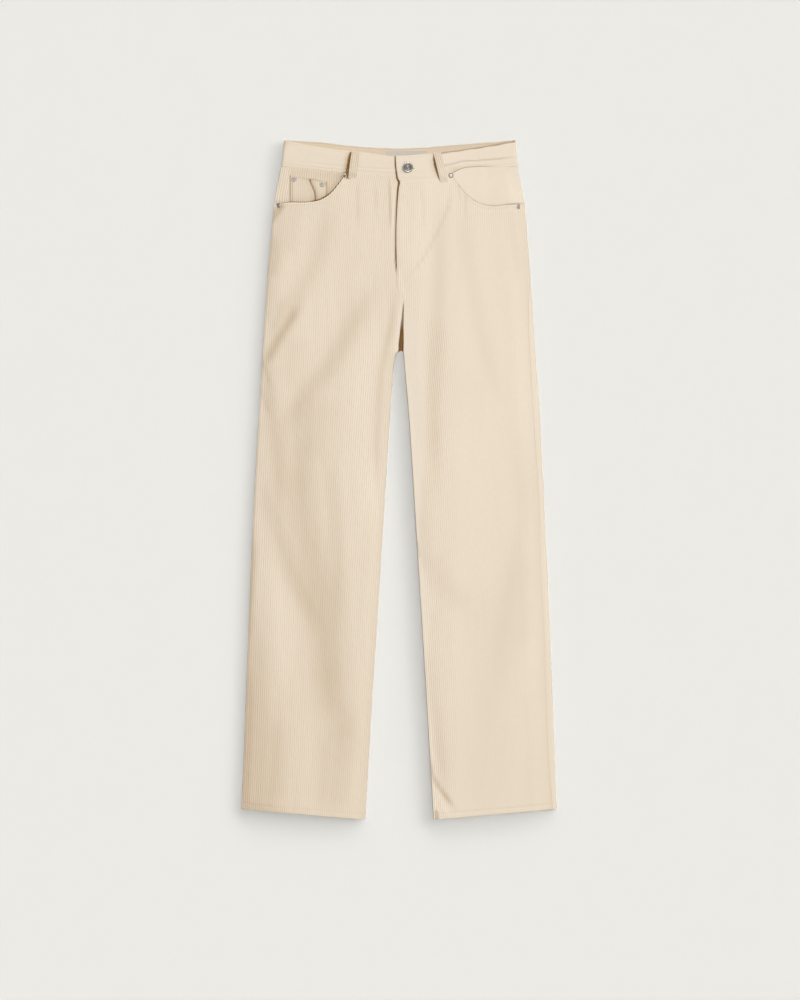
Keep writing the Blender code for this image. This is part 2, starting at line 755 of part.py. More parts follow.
def make_fly_shield():
    """The ply behind the fly, on the right front's inner side."""
    faces = []
    for out in (0.0, -SHIELD_CLOTH):
        rows = []
        for y, width in SHIELD_ROWS:
            edge = centre_at(CENTRE_FRONT, y)
            row = []
            for x in np.linspace(edge - SHIELD_LAP, edge + width, 7):
                top = min(y, float(front_seam(-1, x)) - GAP)
                face = float(cloth_height(-1, np.array([x]), top)[0])
                row.append((x, top, face - CLOTH - LAYER_GAP + out))
            rows.append(row)
        faces.append(rows)
    wall("fly_shield", *faces)


# ---- waistband --------------------------------------------------------------

def band_stations(side, inner_x):
    """Stations along a front waistband: from its inner end round the side.

    Each is (place, turn): a place across the garment, or None with the turn of
    the fold in degrees, or a negative turn for the end on the underside.
    """
    flat = RIGHT_STATIONS if side < 0 else LEFT_STATIONS
    flat = [inner_x] + flat
    return [(x, 0.0) for x in flat] + [(None, turn) for turn in (0, 45, 90, 135, 180, -1)]


def band_row(side, station, levels, out):
    """Points across the waistband at a station, from its seam to its top."""
    place, turn = station
    under = place is None and (turn > 90 or turn < 0)
    lower, upper = (BACK_SEAM, BACK_TOP) if under else (None, FRONT_TOP)
    row = []
    for level, o in zip(levels, np.broadcast_to(out, (len(levels),))):
        x = edge = side * HALF_WAIST
        for _ in range(3):
            if place is not None:
                x = place
            low = float(height_at(lower, x)) if under else float(front_seam(side, x))
            y = low + (float(height_at(upper, x)) - low) * level
            edge = edge_at(OUTER_EDGES, side, y)
            if place is None:
                x = edge
        face = float(band_face(side, edge if place is None else x))
        if place is not None:
            row.append((x, y, face + o))
            continue
        radius = (face - BAND_REST) / 2
        if turn < 0:
            row.append((edge - side * BAND_TURN, y, BAND_REST - o))
            continue
        angle = math.radians(turn)
        centre_x, centre_z = edge - side * radius, BAND_REST + radius
        row.append((centre_x + side * (radius + o) * math.sin(angle), y,
                    centre_z + (radius + o) * math.cos(angle)))
    return row


def make_band_front(name, side):
    """A front waistband: ribbed along its length, round the side to the back."""
    inner_x = BAND_END_RIGHT if side < 0 else centre_at(CENTRE_FRONT, 500.0)
    stations = band_stations(side, inner_x)
    levels = np.linspace(0.0, 1.0, 2 * BAND_WALES + 1)
    plain = np.zeros_like(levels)
    ribs = wales(len(levels))
    outer = [band_row(side, s, levels, plain if s[1] > 90 or s[1] < 0 else ribs)
             for s in stations]
    inner = [band_row(side, s, np.linspace(0.0, 1.0, 4), -BAND) for s in stations]
    return wall(name, outer, inner)


def make_band_back():
    faces = []
    for height in (BAND_REST, BAND_REST + BAND):
        rows = []
        for share in np.linspace(0.0, 1.0, 11):
            row = []
            for level in (0.0, 0.5, 1.0):
                x = 0.0
                for _ in range(4):
                    low = float(height_at(BACK_SEAM, x))
                    y = low + (float(height_at(BACK_TOP, x)) - low) * level
                    ends = [edge_at(OUTER_EDGES, side, y) - side * (BAND_TURN + GAP)
                            for side in (-1, 1)]
                    x = ends[0] + (ends[1] - ends[0]) * share
                row.append((x, y, height))
            rows.append(row)
        faces.append(rows)
    wall("waistband_back", *faces)


def cut_buttonhole(band):
    """Cut the buttonhole through the left waistband."""
    y = BUTTON_PLACE[1]
    half = BUTTONHOLE_WIDTH / 2
    face = float(band_face(1, BUTTON_PLACE[0]))
    cutter = slab("buttonhole", (BUTTONHOLE_ENDS[0], y - half, face - BAND - GAP),
                  (BUTTONHOLE_ENDS[1], y + half, face + 2 * WALE_RISE + GAP), 0.0)
    garment.objects.unlink(cutter)
    cutters.objects.link(cutter)
    cutter.hide_render = True
    cutter.display_type = "WIRE"
    cut = band.modifiers.new("buttonhole", "BOOLEAN")
    cut.operation = "DIFFERENCE"
    cut.object = cutter


def loop_surface(side, x, y):
    """Height of the waistband or the panel under a belt loop."""
    if y > front_seam(side, x) - CLOTH:
        return float(band_face(side, x))
    return surface_height(side, x, y)


def make_front_loop(loop):
    """A belt loop: a strip over the waistband, sewn down at both ends."""
    def rows(count, out):
        made = []
        for share in LOOP_SHARES:
            middle = loop.x_top + (loop.x_bottom - loop.x_top) * share
            y = loop.y_top + (loop.y_bottom - loop.y_top) * share
            arch = LOOP_ARCH * math.sin(share * math.pi)
            row = []
            for across, o in zip(np.linspace(-0.5, 0.5, count),
                                 np.broadcast_to(out, (count,))):
                x = middle + across * LOOP_WIDTH
                under = max(loop_surface(loop.side, x, y + step)
                            for step in (-LOOP_REACH, 0.0, LOOP_REACH))
                row.append((x, y, under + WALE_RISE + GAP + arch + LOOP_CLOTH + o))
            made.append(row)
        return made

    columns = wale_columns(LOOP_WIDTH)
    wall(loop.name, rows(columns, wales(columns)), rows(4, -LOOP_CLOTH))


def make_back_loops():
    """Belt loops on the underside; the back of the waistband rests on them."""
    for name, x in BACK_LOOP_PLACES.items():
        slab("belt_loop_back_" + name,
             (x - LOOP_WIDTH / 2, float(height_at(BACK_SEAM, x)) + 1.0, 0.0),
             (x + LOOP_WIDTH / 2, float(height_at(BACK_TOP, x)) - 1.0, BACK_LOOP_CLOTH),
             0.4)


def make_label():
    """The plain label on the inner face of the back waistband."""
    base = BAND_REST + BAND + GAP
    low = [LABEL_CENTRE[i] - LABEL_SIZE[i] / 2 for i in (0, 1)]
    slab("waist_label", (*low, base),
         (low[0] + LABEL_SIZE[0], low[1] + LABEL_SIZE[1], base + LABEL_SIZE[2]),
         0.2, LABEL_GREY)


# ---- metal ------------------------------------------------------------------

def make_button():
    """The shank button: its post goes through the buttonhole."""
    x, y = BUTTON_PLACE
    face = float(band_face(1, x)) + WALE_RISE + GAP
    post_end = float(band_face(-1, x)) + WALE_RISE + GAP - face
    profile = [(turn.share * BUTTON_RADIUS, turn.height) for turn in BUTTON_HEAD]
    profile += [(POST_RADIUS, 0.0), (POST_RADIUS, post_end), (0.0, post_end)]
    turned("button", profile, (x, y, face))


def make_rivet(name, place):
    profile = [(turn.share * RIVET_RADIUS, turn.height) for turn in RIVET_HEAD]
    turned(name, profile, place, steps=12)


def make_rivets():
    """Rivets stand on the highest cloth under their rims."""
    reach = (-RIVET_RADIUS, 0.0, RIVET_RADIUS)
    for rivet in PANEL_RIVETS:
        side = -1 if rivet.x < 0 else 1
        under = max(surface_height(side, rivet.x + dx, rivet.y + dy)
                    for dx in reach for dy in reach)
        make_rivet(rivet.name, (rivet.x, rivet.y, under + WALE_RISE + GAP))
    for rivet in COIN_RIVETS:
        under = max(surface_height(-1, rivet.x + dx, rivet.y + dy)
                    - facing_depth(-1, rivet.x + dx, rivet.y + dy)
                    for dx in reach for dy in reach)
        rise = 2 * WALE_RISE + LAYER_GAP + GAP + COIN_CLOTH
        make_rivet(rivet.name, (rivet.x, rivet.y, under + rise))


# ---- the garment ------------------------------------------------------------

garment, cutters = start_scene()
for side_name, side_sign in (("right", -1), ("left", 1)):
    make_front_panel("front_panel_" + side_name, side_sign)
    make_back_panel("back_panel_" + side_name, side_sign)
    make_facing("pocket_facing_" + side_name, side_sign)
make_coin_pocket()
make_fly_shield()
make_band_front("waistband_front_right", -1)
cut_buttonhole(make_band_front("waistband_front_left", 1))
make_band_back()
for front_loop in FRONT_LOOPS:
    make_front_loop(front_loop)
make_back_loops()
make_label()
make_button()
make_rivets()
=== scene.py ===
"""Looks of the corduroy trousers: ribbed cloth shells, stitching, metal, light and camera.

Sizes here are in millimetres and go to metres when a mesh is made. The garment lies on
its back: X runs across it (the wearer's right is -X), Y towards the waist, Z up. A side
is -1 for the wearer's right and 1 for the left.
"""

import math
from collections import namedtuple

import bmesh
import bpy
import numpy as np
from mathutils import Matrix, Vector
from mathutils.bvhtree import BVHTree


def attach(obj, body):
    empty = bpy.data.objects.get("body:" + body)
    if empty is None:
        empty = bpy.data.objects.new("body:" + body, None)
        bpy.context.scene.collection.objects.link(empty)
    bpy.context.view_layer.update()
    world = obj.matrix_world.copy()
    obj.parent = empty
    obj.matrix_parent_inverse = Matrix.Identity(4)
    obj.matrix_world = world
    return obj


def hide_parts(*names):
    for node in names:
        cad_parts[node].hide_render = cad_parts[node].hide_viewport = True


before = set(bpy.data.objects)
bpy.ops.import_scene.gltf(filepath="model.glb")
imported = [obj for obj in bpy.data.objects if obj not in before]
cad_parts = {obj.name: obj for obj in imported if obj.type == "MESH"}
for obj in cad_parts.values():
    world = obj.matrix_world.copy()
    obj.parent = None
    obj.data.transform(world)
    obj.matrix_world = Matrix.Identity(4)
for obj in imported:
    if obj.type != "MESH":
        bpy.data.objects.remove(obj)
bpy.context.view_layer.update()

MM = 0.001
QUARTER = math.pi / 2

# ---- sizes of the cloth, mm --------------------------------------------------------------

HALF_LENGTH = 543.8
CLOTH = 1.7                  # one ply of corduroy, without its ribs
SEAM = 0.15                  # each piece stops this far from its seam line
EDGE_RADIUS = 3.3            # fold of the cloth along the sides
WAIST_THINNER = 0.5          # less radius by the waistband
CENTRE_HEIGHT = 12.0         # face of the front in the middle of a leg
BACK_RISE = 2.3              # the back's underside by the waistband
RIB_RISE = 0.26
RIB_POINTS = 6               # columns to a rib
PANEL_RIBS = 61
RIB_CUT = 0.8                # what the inner edge cuts off is pressed into this width
HEM_DEPTH = 9.2
HEM_SLANT = 16.8
HEM_PLY = 1.3                # the turned-up ply of the hem

BAND = 3.0
BAND_HEIGHT = 40.0
BAND_REST = 2.1
BAND_TURN = 12.0
BAND_RIBS = 12
BAND_PITCH = 1.3             # between the rows of points along the band
BAND_SIDE = 187.0            # where the band's face ends and turns over the side
BAND_TURNS = np.radians(np.arange(0.0, 181.0, 22.5))
BAND_GAP = 0.012             # between the panels' upper edges and the band
BAND_STEP = 0.05             # how far the panels' faces lie under the band's
INNER_TOP = 8.8              # top of the legs' inner edges, where they start to roll
INNER_ROLL_RIGHT = 2.0
INNER_ROLL_LEFT = 1.0
INNER_LOW = 3.5              # where the fronts' inner edges meet the backs
SLIT_FLOOR = 2.3
BAND_END_RIGHT = 30.0
FLY_LIFT = 3.4
FLY_LAP = 4.0
FLY_ROLL = 2.0               # radius of the fly's folded edge
FLY_BOTTOM = 332.0
CROTCH_TOP = 286.0
CROTCH_BOTTOM = 206.0
LEGS_PART = 191.0

FACING_LAP = 12.0
FACING_INSET = 12.0
FACING_INNER = 10.0
FACING_RIBS = 32
FACING_CLOTH = 1.4
COIN_CLOTH = 1.5
COIN_RIBS = 18
TURNINGS = 3.2               # what the crotch seam adds to the backs' thickness

LOOP_WIDTH = 12.7
LOOP_CLOTH = 1.8
LOOP_LENGTH = 48.0
LOOP_RIBS = 4
BACK_LOOP_CLOTH = 1.2
BACK_LOOP_PLACES = {"right": -105.0, "centre": 0.0, "left": 105.0}
LABEL_SIZE = (64.0, 21.0, 0.8)
LABEL_CENTRE = (12.8, 515.2)
LABEL_CLOTH = 0.5
BUTTON_PLACE = (13.8, 498.8)
BUTTON_RADIUS = 8.5
RIVET_RADIUS = 4.0

STITCH = 2.6                 # length of a stitch, and of the way to the next one
STITCH_STEP = 3.3
THREAD = 0.42                # half the width of a thread
BAND_THREAD = 0.26
MOUTH_THREAD = 0.24
BAND_INSET = 3.2             # of the waistband's topstitches from its edges
MOUTH_INSET = 3.4
PATH_POINTS = 60
# Rings of a stitch: share of its length, share of its width, and lift.
STITCH_RINGS = ((-0.36, 0.8, 0.05), (0.0, 1.0, 0.18), (0.36, 0.8, 0.05))
STITCH_CORNERS = np.radians((45.0, 135.0, 225.0, 315.0))

# ---- outlines ----------------------------------------------------------------------------

Edge = namedtuple("Edge", "y right left")
Place = namedtuple("Place", "x y")
Face = namedtuple("Face", "x z")
# A fold's depth is negative where it is a ridge. Its shade is the painted shade laid along it, and
# painted light where negative.
Fold = namedtuple("Fold", "half_width depth shade places")

OUTER_EDGES = [
    Edge(543.8, -183.6, 186.6), Edge(518.0, -185.6, 188.2), Edge(490.0, -190.4, 192.0),
    Edge(440.0, -200.0, 201.4), Edge(400.0, -203.6, 205.0), Edge(337.0, -209.4, 209.6),
    Edge(209.0, -217.8, 217.8), Edge(127.0, -222.4, 224.0), Edge(31.0, -228.8, 229.0),
    Edge(-97.0, -235.2, 235.2), Edge(-225.0, -240.2, 241.0), Edge(-353.0, -245.0, 245.8),
    Edge(-481.0, -250.0, 250.4), Edge(-543.8, -253.2, 253.2),
]
# Inner edges of the legs; the slit at the crotch is bound by the first rows.
INNER_EDGES = [
    Edge(286.0, 7.2, 7.6), Edge(271.0, 5.4, 7.6), Edge(247.0, 2.6, 7.0),
    Edge(231.0, 0.8, 7.2), Edge(215.0, -0.8, 7.1), Edge(206.0, -1.2, 7.0),
    Edge(200.0, -6.0, 7.8), Edge(191.0, -8.0, 8.6), Edge(160.0, -10.6, 11.0),
    Edge(127.0, -13.2, 14.2), Edge(31.0, -19.2, 20.8), Edge(-97.0, -27.2, 28.8),
    Edge(-225.0, -35.2, 36.8), Edge(-353.0, -43.2, 44.8), Edge(-543.8, -54.4, 56.0),
]
# Where the fronts meet: the fly's folded edge, then the crotch seam.
CENTRE_FRONT = [
    Place(-5.6, 520.0), Place(-4.5, 499.0), Place(-2.2, 484.0), Place(-1.6, 480.8),
    Place(0.7, 477.4), Place(-0.2, 466.0), Place(-1.5, 452.0),
    Place(-4.0, 409.0), Place(-3.2, 332.0), Place(-2.4, 308.0), Place(7.4, 286.0),
]
CENTRE_BACK = [
    Place(0.0, 543.8), Place(2.0, 400.0), Place(7.4, 286.0), Place(3.0, 206.0),
    Place(0.6, 191.0),
]
BACK_TOP = [
    Place(-184.0, 543.8), Place(-120.0, 539.6), Place(-76.0, 534.4), Place(0.0, 530.6),
    Place(43.0, 532.0), Place(99.0, 536.6), Place(187.0, 543.8),
]
FRONT_TOP = [
    Place(-184.0, 543.0), Place(-149.0, 536.2), Place(-93.0, 527.2), Place(-62.0, 524.2),
    Place(-8.0, 517.4), Place(53.0, 521.8), Place(91.0, 526.4), Place(128.0, 532.2),
    Place(187.0, 543.0),
]
BACK_SEAM = [
    Place(-200.0, 502.4), Place(-76.0, 495.0), Place(0.0, 491.0), Place(99.0, 497.0),
    Place(200.0, 502.4),
]
RIGHT_SEAM = [
    Place(-200.0, 502.4), Place(-158.0, 499.0), Place(-86.0, 492.0), Place(45.0, 485.4),
]
LEFT_SEAM = [
    Place(-8.0, 478.0), Place(50.0, 478.4), Place(68.0, 481.6), Place(84.0, 488.6),
    Place(101.0, 497.0), Place(122.0, 499.8), Place(162.0, 499.8), Place(200.0, 502.4),
]
RIGHT_MOUTH = [
    Place(-205.0, 438.5), Place(-176.0, 442.8), Place(-147.0, 443.2),
    Place(-134.0, 444.8), Place(-125.6, 447.2), Place(-116.2, 452.2),
    Place(-107.2, 459.8), Place(-99.2, 469.4), Place(-91.5, 479.6),
    Place(-84.5, 492.2),
]
LEFT_MOUTH = [
    Place(82.4, 488.0), Place(88.4, 479.0), Place(94.4, 471.4), Place(106.7, 455.8),
    Place(115.0, 448.6), Place(130.2, 440.6), Place(151.7, 437.0),
    Place(170.0, 438.8), Place(206.0, 441.6),
]
COIN_TOP = [Place(-174.4, 486.6), Place(-140.8, 481.0), Place(-114.6, 476.0)]
COIN_CREASE = [
    Place(-142.4, 481.0), Place(-140.6, 474.0), Place(-137.0, 466.0), Place(-134.0, 457.0),
    Place(-133.4, 444.0),
]

# Width of the outseam's turn on to the front.
OUTSEAMS = [
    Edge(332.0, 0.0, 0.0), Edge(286.0, 0.0, 7.0), Edge(180.0, 0.0, 11.2),
    Edge(80.0, 0.0, 11.8), Edge(-32.0, 0.0, 9.6), Edge(-112.0, 0.0, 11.8),
    Edge(-300.0, 0.0, 11.0), Edge(-418.0, 0.0, 11.8), Edge(-480.0, 0.0, 10.2),
    Edge(-543.8, 0.0, 7.2),
]
# Distance in which the front rises from its outer edge, and from its inner edge.
OUTER_EASE = [
    Edge(543.8, 16.0, 20.0), Edge(300.0, 24.0, 36.0), Edge(60.0, 26.0, 40.0),
    Edge(-80.0, 34.0, 44.0), Edge(-543.8, 36.0, 44.0),
]
INNER_EASE = [Edge(543.8, 26.0, 24.0), Edge(-543.8, 34.0, 26.0)]
WAIST_EASE = 55.0

RIGHT_FACE = [Face(-187.0, 9.0), Face(-86.0, 9.8), Face(-45.0, 10.8), Face(60.0, 10.8)]
LEFT_FACE = [
    Face(-10.0, 14.8), Face(33.0, 14.6), Face(78.0, 11.4), Face(110.0, 10.2),
    Face(187.0, 9.0),
]

# Folds of the fronts with their painted shade; those without depth are only painted shade, and a
# negative shade is painted light. Each fades to its sides and at both ends.
FOLDS_RIGHT = [
    Fold(8.0, 1.4, 0.72, [(-156, 286), (-170, 260), (-192, 226), (-220, 174)]),
    Fold(9.0, 0.2, 0.30, [(-204, 396), (-198, 352), (-204, 316)]),
    Fold(15.0, 0.5, 0.24, [(-116, 446), (-122, 390), (-134, 344), (-152, 310), (-174, 278),
                           (-200, 236)]),
    Fold(16.0, 0.0, 0.20, [(-166, 450), (-176, 400), (-182, 350)]),
    Fold(8.0, 0.3, 0.40, [(-204, 450), (-207, 380), (-211, 300), (-216, 220)]),
    Fold(17.0, 0.9, 0.37, [(-38, 318), (-66, 262), (-93, 212), (-117, 172), (-149, 136),
                           (-172, 96), (-190, 50)]),
    Fold(6.0, 0.0, 0.20, [(-184, 294), (-192, 262), (-202, 234)]),
    Fold(7.0, 0.0, 0.24, [(-225, 110), (-228, 50), (-230, 0)]),
    Fold(24.0, 0.0, 0.16, [(-166, 240), (-178, 140)]),
    Fold(30.0, 0.0, 0.20, [(-118, 142), (-138, 82), (-152, 20)]),
    Fold(12.0, 0.6, 0.38, [(-220, 210), (-208, 140), (-198, 70), (-192, 0), (-186, -60)]),
    Fold(15.0, 0.5, 0.34, [(-220, 22), (-210, -32), (-193, -88), (-174, -146),
                           (-148, -200), (-122, -262)]),
    Fold(22.0, 0.0, -0.14, [(-34, 300), (-48, 220), (-60, 110), (-52, 0), (-50, -100)]),
    Fold(18.0, 0.0, 0.10, [(-146, 120), (-154, 40), (-160, -30)]),
    Fold(28.0, 1.2, 0.46, [(-150, 96), (-160, 24), (-154, -60), (-136, -140),
                           (-118, -220), (-112, -300), (-106, -360), (-86, -430)]),
    Fold(16.0, 0.2, 0.12, [(-120, -280), (-110, -350), (-82, -380), (-76, -440)]),
    Fold(12.0, 0.2, 0.14, [(-122, -400), (-122, -460), (-126, -540)]),
    Fold(13.0, 0.3, 0.26, [(-116, 60), (-102, -60), (-97, -140), (-98, -240)]),
    Fold(14.0, 0.2, 0.20, [(-196, -370), (-194, -440), (-200, -530)]),
    Fold(20.0, 0.3, 0.22, [(-100, -370), (-94, -440), (-102, -540)]),
    Fold(5.5, 0.0, 0.34, [(-230, 30), (-235, -80), (-240, -220)]),
    Fold(7.0, 0.0, 0.55, [(-231, -80), (-237, -180), (-241, -280)]),
    Fold(9.0, 0.0, 0.80, [(-243, -280), (-248, -440), (-253, -640)]),
    Fold(30.0, 0.0, 0.40, [(-240, -180), (-230, -420), (-220, -640)]),
    Fold(16.0, -0.8, -0.06, [(-202, -130), (-188, -240), (-176, -360)]),
    Fold(7.0, -0.4, 0.34, [(-4, 306), (-12, 252), (-28, 170), (-35, 60), (-32, -30)]),
    Fold(5.0, 0.3, 0.10, [(-9, 284), (-14, 246), (-20, 206)]),
    Fold(2.0, -0.2, -0.40, [(-4, 328), (1, 308), (7, 286)]),
    Fold(3.0, 0.5, 0.30, [(-223, 196), (-213, 176), (-207, 150)]),
    Fold(3.0, 0.5, 0.30, [(-225, 150), (-215, 128), (-207, 104)]),
    Fold(2.2, 0.5, 0.60, [(-16, 486), (-14.5, 450), (-14.5, 400)]),
    Fold(2.5, -0.5, -0.20, [(-10.5, 480), (-9, 380)]),
    Fold(5.0, 1.2, 1.10, [(-184, 443), (-208, 412)]),
    Fold(3.0, 0.4, 0.24, [(-66, 479), (-66, 407)]),
    Fold(3.0, 0.4, 0.18, [(-38, 470), (-36, 420)]),
    Fold(14.0, 0.0, 0.24, [(-256, -534), (-170, -544)]),
]
FOLDS_LEFT = [
    Fold(13.0, 0.6, 0.26, [(70, 466), (65, 370), (62, 247), (54, 119), (57, -50)]),
    Fold(14.0, 0.4, 0.15, [(98, 460), (112, 340), (128, 240), (150, 160), (172, 96)]),
    Fold(8.0, 0.4, 0.14, [(178, 440), (190, 310)]),
    Fold(18.0, 0.5, 0.16, [(186, 100), (202, -57), (178, -168), (160, -272), (156, -390)]),
    Fold(30.0, 0.0, 0.06, [(150, -140), (140, -300), (130, -540)]),
    Fold(14.0, 0.0, 0.12, [(206, -100), (202, -190), (196, -290)]),
    Fold(21.0, 0.3, 0.17, [(32, -104), (60, -156), (90, -188), (122, -206)]),
    Fold(10.0, 0.0, 0.14, [(36, 10), (40, -50), (46, -120)]),
    Fold(2.5, 0.3, 0.50, [(29, -96), (31, -110), (34, -124)]),
    Fold(7.0, 0.0, 0.22, [(31, -40), (35, -100), (41, -150)]),
    Fold(11.0, 0.4, 0.26, [(40, -240), (52, -350), (66, -440), (78, -500)]),
    Fold(3.6, 1.3, 0.85, [(48, -440), (53.5, -474), (62, -489), (71, -502), (84, -519),
                          (91, -527)]),
    Fold(3.0, -0.6, -0.25, [(60, -496), (66, -514), (80, -540)]),
    Fold(2.5, 0.6, 2.10, [(59, -527), (60.5, -538), (61.5, -560)]),
    Fold(3.0, -0.3, -0.40, [(0, 336), (4, 310), (9, 282)]),
    Fold(3.0, 0.4, 0.14, [(36, 474), (40, 400)]),
    Fold(2.0, 0.3, 0.24, [(94, 480), (97, 446)]),
    Fold(2.0, 0.3, 0.20, [(106, 458), (106, 420)]),
    Fold(2.5, 0.5, 0.28, [(82, 470), (81, 440), (70, 412), (59, 390), (37, 351),
                           (14, 322)]),
]
BACK_FOLDS_RIGHT = [
    Fold(14.0, 1.0, 0.2, [(-150, 330), (-60, 250)]),
    Fold(15.0, 1.1, 0.2, [(-190, -40), (-90, -120)]),
    Fold(13.0, 0.8, 0.2, [(-120, -330), (-170, -470)]),
]
BACK_FOLDS_LEFT = [
    Fold(14.0, 0.9, 0.2, [(140, 300), (70, 215)]),
    Fold(15.0, 1.0, 0.2, [(210, -90), (110, -190)]),
    Fold(13.0, 0.9, 0.2, [(120, -300), (160, -450)]),
]

# Width of the painted shadow beside the fly's edge, and under the pocket mouths.
FLY_SHADOW_WIDTH = [
    Place(328.0, 0.0), Place(336.0, 1.4), Place(385.0, 1.7), Place(430.0, 1.9),
    Place(452.0, 2.4), Place(476.0, 3.2), Place(486.0, 2.4), Place(520.0, 1.9),
]
MOUTH_SHADOW_RIGHT = [
    Place(-200.0, 0.7), Place(-175.0, 0.8), Place(-150.0, 1.2), Place(-122.0, 2.5),
    Place(-100.0, 2.4), Place(-85.0, 1.4),
]
MOUTH_SHADOW_LEFT = [
    Place(85.0, 0.0), Place(110.0, 0.0), Place(140.0, 0.4), Place(165.0, 1.0),
    Place(188.0, 1.2), Place(200.0, 0.9),
]

# A belt loop's wedge is the width of the painted shadow beside it, at these shares of it.
LoopPath = namedtuple("LoopPath", "node side x_top y_top x_bottom y_bottom lean arch wedge")
WEDGE_SHARES = (0.0, 0.2, 0.38, 0.55, 0.75, 0.95, 1.0)
FRONT_LOOPS = [
    LoopPath("belt_loop_front_right", -1, -69.7, 524.6, -75.2, 482.4, 2.2, 3.2,
             (3.0, 4.8, 5.0, 4.5, 4.2, 2.8, 0.0)),
    LoopPath("belt_loop_front_left", 1, 60.8, 522.4, 72.0, 475.8, 1.0, 1.4,
             (0.0, 1.9, 2.9, 3.4, 2.7, 0.0, 0.0)),
]

# Rivets: the sideways tilt of each head is in degrees.
Rivet = namedtuple("Rivet", "node x y tilt")
RIVETS = [
    Rivet("rivet_mouth_top_right", -87.4, 485.4, 12.0),
    Rivet("rivet_mouth_side_right", -192.6, 438.6, -48.0),
    Rivet("rivet_mouth_top_left", 83.0, 486.4, 0.0),
    Rivet("rivet_mouth_side_left", 191.6, 437.0, 48.0),
    Rivet("rivet_coin_outer", -167.8, 480.0, 0.0),
    Rivet("rivet_coin_inner", -122.8, 471.6, 4.0),
]


# ---- curves and the lie of the cloth -----------------------------------------------------

def flow(places, values, at):
    """A smooth curve through the rows of a table, at some positions."""
    order = np.argsort(places)
    xs = np.array(places, float)[order]
    ys = np.array(values, float)[order]
    slopes = np.gradient(ys, xs)
    at = np.asarray(at, float)
    k = np.clip(np.searchsorted(xs, at) - 1, 0, len(xs) - 2)
    step = xs[k + 1] - xs[k]
    t = np.clip((at - xs[k]) / step, 0.0, 1.0)
    start = (1 + 2 * t) * (1 - t) ** 2 * ys[k] + t * (1 - t) ** 2 * step * slopes[k]
    end = t * t * (3 - 2 * t) * ys[k + 1] + t * t * (t - 1) * step * slopes[k + 1]
    return start + end


def edge_at(table, side, y):
    column = 1 if side < 0 else 2
    return flow([row.y for row in table], [row[column] for row in table], y)


def centre_at(curve, y):
    return flow([place.y for place in curve], [place.x for place in curve], y)


def height_at(curve, x):
    return flow([place[0] for place in curve], [place[1] for place in curve], x)


def ease(share):
    share = np.clip(share, 0.0, 1.0)
    return share * share * (3.0 - 2.0 * share)


def bell(away, width):
    """1 at no distance, and soon 0 beyond the width."""
    return np.exp(-(away / width) ** 2)


def rounding(from_edge, radius):
    """1 at an edge and 0 from the radius on, along a quarter of a circle."""
    return 1.0 - np.sqrt(1.0 - (1.0 - np.clip(from_edge / radius, 0.0, 1.0)) ** 2)


def outer_at(side, y):
    return edge_at(OUTER_EDGES, side, y)


def inner_at(side, y):
    return edge_at(INNER_EDGES, side, y)


def front_seam(side, x):
    return height_at(RIGHT_SEAM if side < 0 else LEFT_SEAM, x)


def band_face(side, x):
    return height_at(RIGHT_FACE if side < 0 else LEFT_FACE, x)


def mouth_height(side, x):
    return height_at(RIGHT_MOUTH if side < 0 else LEFT_MOUTH, x)


def mouth_end(side):
    return RIGHT_MOUTH[-1].x if side < 0 else LEFT_MOUTH[0].x


def past_mouth(side, x):
    """True between the fly and the pocket mouth's inner end."""
    return side * (mouth_end(side) - x) > 0


def fold_weight(fold, x, y):
    """A fold's share of its depth at some places."""
    places = np.array(fold.places, float)
    spans = np.hypot(*np.diff(places, axis=0).T)
    starts = np.concatenate(([0.0], np.cumsum(spans)))
    weight = np.zeros(np.broadcast(x, y).shape)
    for one, two, start, span in zip(places, places[1:], starts, spans):
        run = (two - one) / span
        along = np.clip((x - one[0]) * run[0] + (y - one[1]) * run[1], 0.0, span)
        away = np.hypot(x - one[0] - run[0] * along, y - one[1] - run[1] * along)
        share = (start + along) / starts[-1]
        ends = 0.15 + 0.85 * ease(np.minimum(share, 1.0 - share) / 0.25)
        weight = np.maximum(weight, ends * bell(away, fold.half_width))
    return weight


def front_folds(side):
    return FOLDS_RIGHT if side < 0 else FOLDS_LEFT


def fold_depth(folds, x, y):
    return sum(fold.depth * fold_weight(fold, x, y) for fold in folds if fold.depth)


def fold_shade(folds, x, y):
    return sum(fold.shade * fold_weight(fold, x, y) for fold in folds)


def base_shade(side, y):
    """Painted shade away from the folds: darker on the wearer's right and down the legs."""
    return (0.21 if side < 0 else 0.13) + 0.12 * ease(-y / 500.0)


def fly_gap_shadow(x, y):
    """1 where shadow is painted in the gap beside the fly's edge and under its lap."""
    width = height_at(FLY_SHADOW_WIDTH, y)
    past = centre_at(CENTRE_FRONT, y) - x
    return ease((width - past) / 1.1 + 0.5) * ease((y - 328.0) / 6.0)


def mouth_gap_shadow(side, x, y):
    """1 where shadow is painted just inside a pocket mouth and under its edge."""
    gap = height_at(MOUTH_SHADOW_RIGHT if side < 0 else MOUTH_SHADOW_LEFT, x)
    clear = y - mouth_height(side, x)
    strength = 1.0 if side < 0 else 0.75
    return strength * ease((gap - clear) / 0.9 + 0.5)


def mouth_shade(x, y):
    """Painted soft shade on the right facing and coin pocket, above the mouth's curved edge."""
    clear = y - mouth_height(-1, x)
    reach = 8.0 + 7.0 * ease((x + 122.0) / 20.0)
    near = bell(np.clip(clear, 0.0, None), reach)
    return near * (0.2 * ease((x + 180.0) / 8.0) + 0.36 * ease((x + 150.0) / 36.0))


def back_lift(y):
    return BACK_RISE * ease((y - 455.0) / 40.0)


def side_radius(y):
    return EDGE_RADIUS - WAIST_THINNER * ease((y - 430.0) / 50.0)


def fly_gap(side, x, y):
    """The dip of the right front along the fly's edge."""
    if side > 0:
        return 0.0
    from_edge = x - centre_at(CENTRE_FRONT, y) + 1.0
    return 2.2 * bell(from_edge, 3.4) * ease((y - 330.0) / 60.0)


